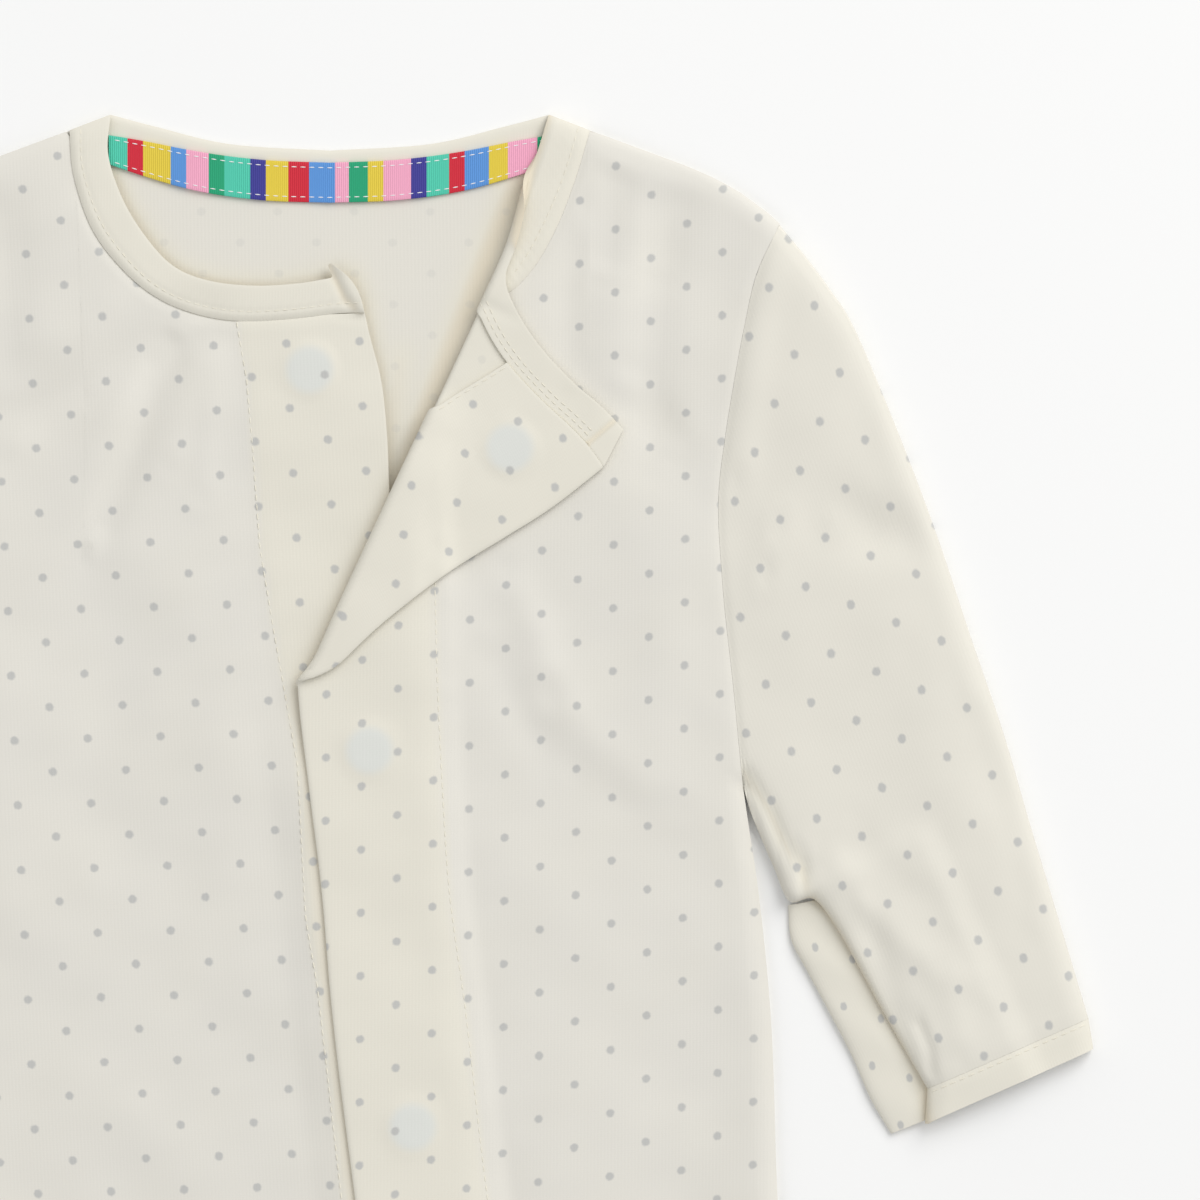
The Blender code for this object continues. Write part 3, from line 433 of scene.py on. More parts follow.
@dataclass
class Lay:
    """How the layers of the garment lie on the surface and on each other."""

    cloth: float = 1.0
    wall: float = 0.6
    layer: float = 1.3
    body_loft: float = 1.7
    sleeve_loft: float = 2.9
    edge_roll: float = 6.0
    hem_y: float = -280.5
    crotch_y: float = -103.0
    underarm_y: float = 106.0
    shoulder_tip_y: float = 252.2
    shoulder_bends: tuple = ((93.6, 266.8), (101.0, 263.5), (107.4, 259.8), (113.8, 255.0))
    pocket_rise: float = 0.45
    pocket_flat: float = 5.4
    pocket_foot: float = 9.0
    underlap_step: tuple[float, float] = (4.0, 12.0)
    placket_step: tuple[float, float] = (0.5, 6.0)
    edge_round: float = 1.6
    fold_foot: tuple[float, float] = (-6.05, 129.98)
    fold_along: tuple[float, float] = (0.4211, 0.9070)
    fold_across: tuple[float, float] = (0.9070, -0.4211)
    fold_starts: float = 12.0
    foot_bend: float = 0.02
    fold_ends: float = 120.0
    neck_bend: float = 0.0045
    fold_radius: float = 0.6
    foot_radius: float = 0.3
    fold_opens: float = 30.0
    settle: float = 14.0
    rest_over: float = 0.6
    seam_sink: float = 0.35
    seam_width: float = 1.3
    cuff_across: tuple[float, float] = (0.911, 0.410)
    cuff_corner: tuple[float, float] = (154.4, 18.2)
    mitt_reach: float = 26.0
    mitt_length: float = 66.0
    mitt_ramp: float = 8.0
    mitt_outside: float = 17.0
    mitt_margin: float = 2.0
    mitt_body_ramp: float = 4.0
    crease_gain: float = 1.6
    swell_gain: float = 1.5
    swell_bend: float = 0.12
    swell_bend_length: float = 1.7
    loft_starts: float = 98.0
    loft_widens: float = 26.0
    sleeve_starts: float = 112.0
    ground_hardness: float = 5.0
    outer_round: float = 0.55
    inner_round: float = 0.35
    facing_round: float = 0.45
    turned_middle: tuple[float, float] = (20.0, 190.0)
    opening_y: tuple[float, float] = (150.0, 231.0)
    sides: list[Array] = field(default_factory=list)
    seams: list[Array] = field(default_factory=list)
    left_seam: Array = field(init=False)
    right_seam: Array = field(init=False)
    turned_line: Array = field(init=False)
    opening: Array = field(init=False)

    def __post_init__(self) -> None:
        """Works out the closed sides of the flat garment on its +X half, as bent lines."""
        share = np.linspace(0.0, 1.0, 31)
        hem = np.array(SLEEVE_HEM)
        self.sides.extend([
            np.array([NECK[0][2:], *self.shoulder_bends, SLEEVE[0][:2]]),
            np.vstack([bent_line(SLEEVE, "outer", share), hem[:, :2]]),
            np.vstack([bent_line(SLEEVE, "inner", share), hem[:, 2:]]),
            edge_line("side", np.linspace(self.hem_y, self.underarm_y, 24)),
            edge_line("inner", np.linspace(self.hem_y, self.crotch_y, 8)),
        ])
        self.seams.extend([
            edge_line("side", np.linspace(self.underarm_y, self.shoulder_tip_y, 16)),
            np.array(SLEEVE[-1]).reshape(2, 2),
        ])
        share = np.linspace(0.0, 0.8, 24)
        self.left_seam = bent_line(LEFT_NECK, "seam", share)
        self.right_seam = bent_line(NECK, "seam", share) * (-1.0, 1.0)
        # The turned corner's edge and the neck's opening: lines beside which shade is painted on the
        # layers below.
        closed = edge_line("closed", np.linspace(self.hem_y, self.fold_foot[1], 30))
        neck = [(row.edge_x - 1.0, row.edge_y) for row in LEFT_NECK[3::-1]]
        self.turned_line = np.vstack([closed, [self.turned_middle], neck])
        under = edge_line("under", np.linspace(*self.opening_y, 8))
        rim = bent_line(NECK, "edge", np.linspace(0.92, 0.0, 24))
        self.opening = np.vstack([under, rim * (-1.0, 1.0)])

    def mitt_lift(self, x: Array, y: Array) -> Array:
        """Gives the height that the mitt under the cuff adds to the sleeve above it."""
        dx, dy = np.abs(x) - self.cuff_corner[0], y - self.cuff_corner[1]
        across = dx * self.cuff_across[0] + dy * self.cuff_across[1]
        along = dy * self.cuff_across[0] - dx * self.cuff_across[1]
        over_width = 1.0 - smooth_step((across - self.mitt_reach - self.mitt_margin) / self.mitt_ramp)
        over_length = 1.0 - smooth_step((along - self.mitt_length) / self.mitt_ramp)
        beside_body = smooth_step((across + self.mitt_outside) / self.mitt_body_ramp)
        beside_body = beside_body * (np.abs(x) > self.sleeve_starts)
        return self.layer * over_width * over_length * beside_body

    def base(self, x: Array, y: Array) -> Array:
        """Gives the underside of the garment's first upper layer.

        Args:
            x: each point's x.
            y: each point's y.

        Returns:
            Its height, with the lofted body, the creases, the swells and the sunk seams.
        """
        x, y = np.asarray(x, float), np.asarray(y, float)
        away = np.min([distance_to(line, np.abs(x), y) for line in self.sides], axis=0)
        rounded = np.sqrt(1.0 - (1.0 - np.clip(away / self.edge_roll, 0.0, 1.0)) ** 2)
        loft = self.body_loft + (self.sleeve_loft - self.body_loft) * smooth_step(
            (np.abs(x) - self.loft_starts) / self.loft_widens
        )
        height = self.layer + loft * rounded
        for crease in CREASES:
            spread = crease_spread(crease.points, crease.width, x, y)
            height = height + self.crease_gain * crease.height * spread * rounded
        for swell in SWELLS:
            along = x * math.cos(swell.turn) + y * math.sin(swell.turn)
            bend_turns = (x - y) / (self.swell_bend_length * swell.length)
            bent = along + self.swell_bend * swell.length * np.sin(bend_turns)
            wave = np.sin(2.0 * math.pi * bent / swell.length + swell.phase)
            height = height + self.swell_gain * swell.height * wave * rounded
        near = np.min([
            *(distance_to(line, np.abs(x), y) for line in self.seams),
            distance_to(self.left_seam, x, y),
            distance_to(self.right_seam, x, y),
        ], axis=0)
        height = height - self.seam_sink * np.exp(-((near / self.seam_width) ** 2))
        # the soft ground keeps troughs from reaching through the layer below
        above = np.logaddexp(0.0, self.ground_hardness * (height - self.layer))
        height = self.layer + above / self.ground_hardness
        return height + self.mitt_lift(x, y)

    def pocket(self, x: Array, y: Array, magnets: Sequence[tuple[float, float]]) -> Array:
        """Gives 1 over each closing magnet, falling to 0 around it."""
        near = self.to_magnet(x, y, magnets)
        return 1.0 - smooth_step((near - self.pocket_flat) / (self.pocket_foot - self.pocket_flat))

    def crevice_shade(self, x: Array, y: Array, line: Array, reach: float) -> Array:
        """Gives each point's share of painted shade beside a line, 1 on the line."""
        return np.exp(-((distance_to(line, x, y) / reach) ** 2))

    def to_magnet(self, x: Array, y: Array, magnets: Sequence[tuple[float, float]]) -> Array:
        """Gives how far each point is from the middle of the nearest closing magnet."""
        return np.min([np.hypot(x - mx, y - my) for mx, my in magnets], axis=0)

    def stepped(self, column: str, step: tuple[float, float], x: Array, y: Array) -> Array:
        """Gives 1 up to one of the cut edges, falling to 0 over the step past it."""
        return 1.0 - smooth_step((x - edge(column, y) - step[0]) / (step[1] - step[0]))

    def left_top(self, x: Array, y: Array) -> Array:
        """Gives the right side of the left front, flat over the underlap and its own facing."""
        layers = self.stepped("under", self.underlap_step, x, y)
        layers = layers + self.stepped("stitch", self.placket_step, x, y)
        raised = self.pocket_rise * self.pocket(x, y, LEFT_MAGNETS)
        return self.base(x, y) + self.layer * layers + raised + self.cloth

    def edge_share(self, x: Array, y: Array) -> Array:
        """Gives 1 on the closed edge of the left front, falling to 0 where its roundness ends."""
        away = np.clip((x - edge("closed", y)) / self.edge_round, 0.0, 1.0)
        return 1.0 - np.sqrt(1.0 - (1.0 - away) ** 2)

    def fold_place(self, x: Array, y: Array) -> tuple[Array, Array, Array]:
        """Gives a flat point's place beside the turned corner's fold.

        Args:
            x: its flat x.
            y: its flat y.

        Returns:
            Its place along the fold, the fold's bend there, and how far past it the point is.
        """
        dx, dy = x - self.fold_foot[0], y - self.fold_foot[1]
        along = dx * self.fold_along[0] + dy * self.fold_along[1]
        low_end = np.maximum(self.fold_starts - along, 0.0)
        high_end = np.maximum(along - self.fold_ends, 0.0)
        bend = self.foot_bend * low_end**2 + self.neck_bend * high_end**2
        return along, bend, -(dx * self.fold_across[0] + dy * self.fold_across[1]) - bend

    def left_front(self, x: Array, y: Array, depth: Array | float) -> tuple[Array, Array, Array]:
        """Places a point of the flat left front at a given depth under its right side.

        Args:
            x: its flat x.
            y: its flat y.
            depth: how far it lies under the right side.

        Returns:
            Its x, y and height, with the corner past the fold rolled over and settled.
        """
        along, bend, turned = self.fold_place(x, y)
        foot_x = self.fold_foot[0] + along * self.fold_along[0] - bend * self.fold_across[0]
        foot_y = self.fold_foot[1] + along * self.fold_along[1] - bend * self.fold_across[1]
        opened = smooth_step(along / self.fold_opens)
        radius = self.foot_radius + (self.fold_radius - self.foot_radius) * opened
        neutral = radius + self.cloth / 2
        angle = np.clip(turned / neutral, 0.0, math.pi)
        past = np.maximum(turned - math.pi * neutral, 0.0)
        across = past - (radius + depth) * np.sin(angle)
        new_x = np.where(turned > 0, foot_x + across * self.fold_across[0], x)
        new_y = np.where(turned > 0, foot_y + across * self.fold_across[1], y)
        rolled = self.left_top(foot_x, foot_y) + radius - (radius + depth) * np.cos(angle)
        settled = self.left_top(new_x, new_y) + self.rest_over + depth
        share = smooth_step(past / self.settle)
        height = np.where(
            turned > 0, rolled + (settled - rolled) * share, self.left_top(x, y) - depth
        )
        return new_x, new_y, height

    def front_side(self, x: Array, y: Array, inner: bool) -> tuple[Array, Array, Array]:
        """Places the right (outer) or wrong (inner) side of the left front."""
        round_off = self.edge_share(x, y)
        outer = self.outer_round * round_off
        return self.left_front(x, y, self.wall + self.inner_round * round_off if inner else outer)

    def facing_side(self, x: Array, y: Array, outer: bool) -> tuple[Array, Array, Array]:
        """Places a side of the facing behind the placket.

        Args:
            x: each point's flat x.
            y: each point's flat y.
            outer: whether it is the outer side, or the hidden one against the front.

        Returns:
            Each point's x, y and height.
        """
        round_off = self.edge_share(x, y)
        pocket = self.pocket_rise * self.pocket(x, y, LEFT_MAGNETS)
        if outer:
            return self.left_front(x, y, CLOSED_SLACK + pocket - self.outer_round * round_off)
        hidden = CLOSED_SLACK - self.wall + pocket - self.facing_round * round_off
        return self.left_front(x, y, hidden)


LAY = Lay()


# ---- Finishes -------------------------------------------------------------------------------------
@dataclass(frozen=True)
class Print:
    """How the staggered dots lie on a panel's flat pattern: one dot, and the steps to the next."""

    origin: tuple[float, float]
    across: tuple[float, float]
    down: tuple[float, float]

    def read(self, x: Array, y: Array) -> tuple[Array, Array]:
        """Gives flat points in steps of the print: a dot is at each whole and each half step."""
        spread = self.across[0] * self.down[1] - self.across[1] * self.down[0]
        dx, dy = x - self.origin[0], y - self.origin[1]
        i = (dx * self.down[1] - dy * self.down[0]) / spread
        j = (dy * self.across[0] - dx * self.across[1]) / spread
        return i, j


RIGHT_PRINT = Print((-43.0, 102.2), (18.95, 0.56), (0.87, -16.81))
LEFT_PRINT = Print((63.9, 77.8), (18.57, 1.50), (-0.10, -16.39))
BACK_PRINT = Print((36.1, 247.3), (19.8, 0.0), (0.3, -16.1))
FACING_PRINT = Print((9.4, 219.1), (19.3, 3.7), (2.5, -15.9))
SLEEVE_PRINT = Print((135.3, 153.2), (16.9, 8.0), (6.6, -17.4))
MITT_PRINT = Print((126.1, 64.2), (12.0, 9.0), (7.4, -15.4))


class Nodes:
    """Small helper that adds and links a material's shader nodes."""

    def __init__(self, name: str) -> None:
        """Starts an empty node material."""
        self.material = bpy.data.materials.new(name)
        self.material.use_nodes = True
        self.tree = self.material.node_tree
        self.shader = self.tree.nodes["Principled BSDF"]

    def add(self, kind: str, inputs: dict | None = None, **settings: object) -> bpy.types.Node:
        """Adds a node.

        Args:
            kind: the node's type.
            inputs: values for its sockets, or sockets to link from.
            **settings: its own settings.

        Returns:
            The node.
        """
        node = self.tree.nodes.new(kind)
        for name, value in settings.items():
            setattr(node, name, value)
        for key, value in (inputs or {}).items():
            self.feed(node.inputs[key], value)
        return node

    def feed(self, socket: bpy.types.NodeSocket, value: object) -> None:
        """Links a socket to another one, or gives it a value."""
        if isinstance(value, bpy.types.NodeSocket):
            self.tree.links.new(value, socket)
        else:
            socket.default_value = value

    def maths(self, operation: str, *values: object, clamp: bool = False) -> bpy.types.NodeSocket:
        """Adds a Math node on the given values or sockets."""
        node = self.add("ShaderNodeMath", dict(enumerate(values)), operation=operation)
        node.use_clamp = clamp
        return node.outputs[0]

    def vector(self, operation: str, *values: object) -> bpy.types.Node:
        """Adds a Vector Math node on the given values or sockets."""
        return self.add("ShaderNodeVectorMath", dict(enumerate(values)), operation=operation)

    def blend(self, share: object, low: object, high: object) -> bpy.types.NodeSocket:
        """Mixes two colours by a share."""
        node = self.add("ShaderNodeMix", data_type="RGBA")
        for index, value in ((0, share), (6, low), (7, high)):
            self.feed(node.inputs[index], value)
        return node.outputs[2]

    def shaded(self, colour: object, share: object) -> bpy.types.NodeSocket:
        """Scales a colour by a share."""
        grey = self.add("ShaderNodeCombineXYZ", {0: share, 1: share, 2: share}).outputs[0]
        return self.vector("MULTIPLY", colour, grey).outputs[0]

    def set(self, **values: object) -> None:
        """Sets or links the shader's own sockets, named with _ for spaces."""
        for name, value in values.items():
            self.feed(self.shader.inputs[name.replace("_", " ")], value)


def linear(red: int, green: int, blue: int) -> tuple[float, float, float, float]:
    """Turns an 8-bit display colour into linear values."""
    shares = [channel / 255 for channel in (red, green, blue)]
    return (*(((s + 0.055) / 1.055) ** 2.4 if s > 0.04045 else s / 12.92 for s in shares), 1.0)


@dataclass(frozen=True)
class Jersey:
    """Soft knitted cotton, plain or with small dots, seen from its right or its wrong side, with
    painted shade where its state asks for it.
    """

    name: str
    colour: tuple[float, float, float, float] = linear(224, 221, 213)
    doubled: tuple[float, float, float, float] = linear(227, 223, 210)
    # painted shade: the warm tan that stands for the shade in hollows beside folds, edges and seams
    crevice_shade: tuple[float, float, float, float] = linear(223, 211, 187)
    over_magnet: tuple[float, float, float, float] = linear(219, 221, 216)
    dot: tuple[float, float, float, float] = linear(190, 190, 187)
    dots: float = 0.92
    pitch: tuple[float, float, float] = (19.0, 16.8, 0.0)
    dot_radius: float = 1.08
    magnet_ramp: tuple[float, float] = (7.6, 4.4)
    wale: float = 0.9
    course: float = 0.62

    def make(self) -> bpy.types.Material:
        """Makes the material, which reads the piece's UV maps print and state."""
        kit = Nodes(self.name)
        steps = kit.add("ShaderNodeUVMap", uv_map="print").outputs[0]
        state = kit.add("ShaderNodeUVMap", uv_map="state").outputs[0]
        state_parts = kit.add("ShaderNodeSeparateXYZ", {0: state})
        flat = kit.vector("MULTIPLY", steps, self.pitch).outputs[0]
        fuzz = kit.add("ShaderNodeTexNoise", {"Vector": flat, "Scale": 1.1, "Detail": 2.0})
        shift = kit.vector("SUBTRACT", fuzz.outputs["Color"], (0.5, 0.5, 0.5)).outputs[0]
        shift = kit.vector("MULTIPLY", shift, (0.028, 0.032, 0.0)).outputs[0]
        wobbly = kit.vector("ADD", steps, shift).outputs[0]
        near = [self._away(kit, wobbly, start) for start in (0.5, 0.0)]
        away = kit.maths("MINIMUM", *near)
        dot = kit.maths("MULTIPLY_ADD", away, -1.9, 1.9 * self.dot_radius + 0.5, clamp=True)
        broad = kit.add("ShaderNodeTexNoise", {"Vector": flat, "Scale": 0.035, "Detail": 2.0})
        mottle = kit.maths("MULTIPLY_ADD", broad.outputs[0], 0.9, -0.15, clamp=True)
        # The state's second part warms the cloth towards its doubled tone up to 1 and paints shade
        # from 1 to 2; where a piece's state paints shade, the warming below 1 is painted shade too.
        ply_and_shade = kit.maths("ADD", state_parts.outputs[1], 0.0, clamp=True)
        warm = kit.maths("MAXIMUM", ply_and_shade, kit.maths("MULTIPLY", mottle, 0.6))
        colour = kit.blend(warm, self.colour, self.doubled)
        # painted shade: above 1, the state's second part mixes in the tan shade colour
        painted_shade = kit.maths("SUBTRACT", state_parts.outputs[1], 1.0, clamp=True)
        colour = kit.blend(painted_shade, colour, self.crevice_shade)
        ramp = dict(enumerate((state_parts.outputs[0], *self.magnet_ramp, 0.0, 0.9)))
        disc = kit.add("ShaderNodeMapRange", ramp, interpolation_type="SMOOTHSTEP").outputs[0]
        colour = kit.blend(disc, colour, self.over_magnet)
        colour = kit.blend(kit.maths("MULTIPLY", dot, self.dots), colour, self.dot)
        parts = kit.add("ShaderNodeSeparateXYZ", {0: flat})
        wales = kit.maths("SINE", kit.maths("MULTIPLY", parts.outputs[0], 2 * math.pi / self.wale))
        rows = kit.maths("SINE", kit.maths("MULTIPLY", parts.outputs[1], 2 * math.pi / self.course))
        loops = kit.maths("MULTIPLY_ADD", rows, 0.35, wales)
        grain = kit.add("ShaderNodeTexNoise", {"Vector": flat, "Scale": 1.7, "Detail": 3.0})
        relief = kit.maths("MULTIPLY_ADD", grain.outputs[0], 1.6, loops)
        # painted shade with grain: the colour darkens a little where the knit's relief of loops and
        # random grain is low
        knit_grain_and_shade = kit.maths("MULTIPLY_ADD", relief, 0.0015, 0.996)
        bump = kit.add(
            "ShaderNodeBump", {"Height": relief, "Strength": 0.07, "Distance": 0.00008}
        )
        kit.set(
            Base_Color=kit.shaded(colour, knit_grain_and_shade),
            Roughness=0.92,
            Specular_IOR_Level=0.25,
            Sheen_Weight=0.12,
            Sheen_Roughness=0.5,
            Normal=bump.outputs[0],
        )
        return kit.material

    def _away(self, kit: Nodes, steps: object, start: float) -> bpy.types.NodeSocket:
        """Gives the distance, in millimetres, to the nearest dot of one of the two lattices."""
        moved = kit.vector("ADD", steps, (start, start, 0.0)).outputs[0]
        share = kit.vector("FRACTION", moved).outputs[0]
        centred = kit.vector("SUBTRACT", share, (0.5, 0.5, 0.0)).outputs[0]
        scaled = kit.vector("MULTIPLY", centred, self.pitch).outputs[0]
        return kit.vector("LENGTH", scaled).outputs["Value"]


class Stripe(NamedTuple):
    """A woven stripe across the tape: its width and colour."""

    width: float
    colour: tuple[float, float, float, float]


PINK, YELLOW, GREEN = linear(247, 172, 200), linear(232, 206, 66), linear(28, 166, 118)
NAVY, MINT = linear(60, 58, 150), linear(80, 205, 176)
BLUE, RED = linear(92, 152, 222), linear(214, 34, 56)
STRIPES = (
    Stripe(5.0, MINT), Stripe(4.0, RED), Stripe(7.5, YELLOW), Stripe(4.0, BLUE), Stripe(6.0, PINK),
    Stripe(4.5, GREEN), Stripe(7.0, MINT), Stripe(4.0, NAVY), Stripe(6.0, YELLOW), Stripe(5.5, RED),
    Stripe(7.0, BLUE), Stripe(4.0, PINK), Stripe(5.0, GREEN), Stripe(4.0, YELLOW), Stripe(7.5, PINK),
    Stripe(4.5, NAVY), Stripe(6.0, MINT), Stripe(4.0, RED), Stripe(6.5, BLUE), Stripe(5.0, YELLOW),
    Stripe(8.0, PINK), Stripe(4.0, GREEN),
)


@dataclass(frozen=True)
class Ribbon:
    """Ribbed woven tape with stripes across it, read along the piece's print map."""

    name: str = "striped_tape"
    rib: float = 0.55

    def make(self) -> bpy.types.Material:
        """Makes the material; print's first part is the share along the tape."""
        kit = Nodes(self.name)
        place = kit.add("ShaderNodeUVMap", uv_map="print").outputs[0]
        along = kit.add("ShaderNodeSeparateXYZ", {0: place}).outputs[0]
        ramp = kit.add("ShaderNodeValToRGB", {0: along})
        ramp.color_ramp.interpolation = "CONSTANT"
        total = sum(stripe.width for stripe in STRIPES)
        start = 0.0
        for index, stripe in enumerate(STRIPES):
            stops = ramp.color_ramp.elements
            stop = stops[index] if index < 2 else stops.new(start / total)
            stop.position = start / total
            stop.color = stripe.colour
            start += stripe.width
        ribs = kit.maths("SINE", kit.maths("MULTIPLY", along, 2 * math.pi * total / self.rib))
        shade = kit.maths("MULTIPLY_ADD", ribs, 0.035, 0.965)
        bump = kit.add("ShaderNodeBump", {"Height": ribs, "Strength": 0.5, "Distance": 0.0001})
        kit.set(
            Base_Color=kit.shaded(ramp.outputs[0], shade),
            Roughness=0.55,
            Specular_IOR_Level=0.35,
            Sheen_Weight=0.1,
            Normal=bump.outputs[0],
        )
        return kit.material


@dataclass(frozen=True)
class Thread:
    """Matt sewing thread with a fine twist."""

    name: str
    colour: tuple[float, float, float, float]

    def make(self) -> bpy.types.Material:
        """Makes the material on object coordinates."""
        kit = Nodes(self.name)
        place = kit.add("ShaderNodeTexCoord").outputs["Object"]
        twist = kit.add("ShaderNodeTexNoise", {"Vector": place, "Scale": 5200.0, "Detail": 1.0})
        shade = (*[channel * 0.86 for channel in self.colour[:3]], 1.0)
        kit.set(
            Base_Color=kit.blend(
                kit.maths("MULTIPLY", twist.outputs[0], 0.5), self.colour, shade
            ),
            Roughness=0.7,
            Sheen_Weight=0.1,
        )
        return kit.material


@dataclass(frozen=True)
class PlatedDisc:
    """Nickel-plated closing magnet, faintly scratched."""

    name: str = "plated_magnet"

    def make(self) -> bpy.types.Material:
        """Makes the material on object coordinates."""
        kit = Nodes(self.name)
        place = kit.add("ShaderNodeTexCoord").outputs["Object"]
        scuff = kit.add("ShaderNodeTexNoise", {"Vector": place, "Scale": 900.0, "Detail": 4.0})
        kit.set(
            Base_Color=kit.blend(scuff.outputs[0], linear(160, 163, 168), linear(186, 188, 192)),
            Metallic=1.0,
            Roughness=kit.maths("MULTIPLY_ADD", scuff.outputs[0], 0.2, 0.25),
        )
        return kit.material


@dataclass
class Wardrobe:
    """All the finishes, each made once."""

    dotted: bpy.types.Material = field(init=False)
    inside: bpy.types.Material = field(init=False)
    plain: bpy.types.Material = field(init=False)
    tape: bpy.types.Material = field(init=False)
    thread: bpy.types.Material = field(init=False)
    pale_thread: bpy.types.Material = field(init=False)
    magnet: bpy.types.Material = field(init=False)

    def __post_init__(self) -> None:
        """Makes every material."""
        self.dotted = Jersey("dotted_jersey_right_side").make()
        self.inside = Jersey("dotted_jersey_wrong_side", dots=0.2).make()
        self.plain = Jersey(
            "plain_jersey", colour=linear(225, 221, 208), dots=0.0, wale=0.8, course=0.7
        ).make()
        self.tape = Ribbon().make()
        self.thread = Thread("cream_thread", linear(235, 230, 214)).make()
        self.pale_thread = Thread("white_thread", linear(244, 244, 244)).make()
        self.magnet = PlatedDisc().make()


# ---- Cloth shells ---------------------------------------------------------------------------------
def row_share(v: Array, crowding: float = 0.55) -> Array:
    """Gives the share of the body's height at row v: rows crowd towards the neck."""
    return v * (1.0 + crowding * (1.0 - v))


def patch(
    left: Callable, right: Callable, bottom: Callable, top: Callable, pull: float = 1.0
) -> Place:
    """Stretches a sheet between four edges, each a function of its own share from 0 to 1.

    Args:
        left: the edge at u = 0.
        right: the edge at u = 1.
        bottom: the edge at v = 0.
        top: the edge at v = 1.
        pull: the power of u by which the right edge's shape fades across the sheet.

    Returns:
        The sheet's place(u, v).
    """

    def place(u: Array, v: Array) -> list[Array]:
        """Gives the sheet's x and y."""
        v = row_share(v)
        corners = [np.array(curve(end)) for curve in (left, right) for end in (0.0, 1.0)]
        sheet = []
        for axis in (0, 1):
            near = u**pull
            ruled = (1 - near) * left(v)[axis] + near * right(v)[axis]
            crossed = (1 - v) * bottom(u)[axis] + v * top(u)[axis]
            low = (1 - near) * corners[0][axis] + near * corners[2][axis]
            high = (1 - near) * corners[1][axis] + near * corners[3][axis]
            sheet.append(ruled + crossed - (1 - v) * low - v * high)
        return sheet

    return place


def body_edge(column: str, top_y: float, inset: float = 0.0) -> Callable:
    """Gives one of the body's cut edges as a function of its share.

    Args:
        column: the edge's column of LEVELS.
        top_y: how high it goes, from the hem.
        inset: how far it is moved inwards.

    Returns:
        The edge, which gives an x and a y at a share from 0 to 1.
    """

    def at(share: Array | float) -> tuple[Array, Array]:
        """Gives the edge's x and y."""
        y = LAY.hem_y + (top_y - LAY.hem_y) * np.asarray(share, float)
        return edge(column, y) - inset, y

    return at


def straight(start: Sequence[float], end: Sequence[float]) -> Callable:
    """Gives a straight edge, as a function of its share."""
    return lambda share: tuple(a + (b - a) * np.asarray(share, float) for a, b in zip(start, end))


def hem_edge(left_column: str, right_column: str, inset: float = 0.0) -> Callable:
    """Gives the leg's hem between two of the body's cut edges."""
    y = LAY.hem_y
    return straight((float(edge(left_column, y)), y), (float(edge(right_column, y)) - inset, y))


def neck_then_shoulder(
    stations: Sequence[NeckStation], start: float, end: float, neck_part: float, seam_gap: float
) -> Callable:
    """Gives a panel's top edge: its neck seam, then its shoulder.

    Args:
        stations: the neck's crossings.
        start: the neck's share where the edge starts.
        end: the neck's share where the shoulder begins.
        neck_part: the part of the edge that the neck takes.
        seam_gap: how far it keeps from the seams.

    Returns:
        The edge, which gives an x and a y at a share from 0 to 1.
    """
    corner = neck_point(stations, "seam", end, seam_gap)
    tip = (float(edge("side", LAY.shoulder_tip_y)) - seam_gap, LAY.shoulder_tip_y)
    line = np.array([[float(value) for value in corner], *LAY.shoulder_bends, tip])
    walked = np.concatenate([[0.0], np.cumsum(np.hypot(*np.diff(line, axis=0).T))])

    def at(share: Array | float) -> tuple[Array, Array]:
        """Gives the edge's x and y."""
        share = np.asarray(share, float)
        along = start + (end - start) * np.clip(share / neck_part, 0.0, 1.0)
        seam = neck_point(stations, "seam", along, seam_gap)
        onward = walked[-1] * np.clip((share - neck_part) / (1.0 - neck_part), 0.0, 1.0)
        shoulder = [np.interp(onward, walked, line[:, axis]) for axis in (0, 1)]
        return tuple(np.where(share <= neck_part, s, t) for s, t in zip(seam, shoulder))

    return at


def mirrored(place: Place) -> Place:
    """Turns a sheet of the +X half into its twin on the other."""
    return lambda u, v: (-place(u, v)[0], place(u, v)[1])


def unit_grid(bm: bmesh.types.BMesh, columns: int, rows: int) -> tuple[list, Array]:
    """Adds an open grid and gives its points, and their shares across and along it."""
    made = bmesh.ops.create_grid(bm, x_segments=columns, y_segments=rows, size=0.5)["verts"]
    return made, np.array([vert.co for vert in made]) + 0.5


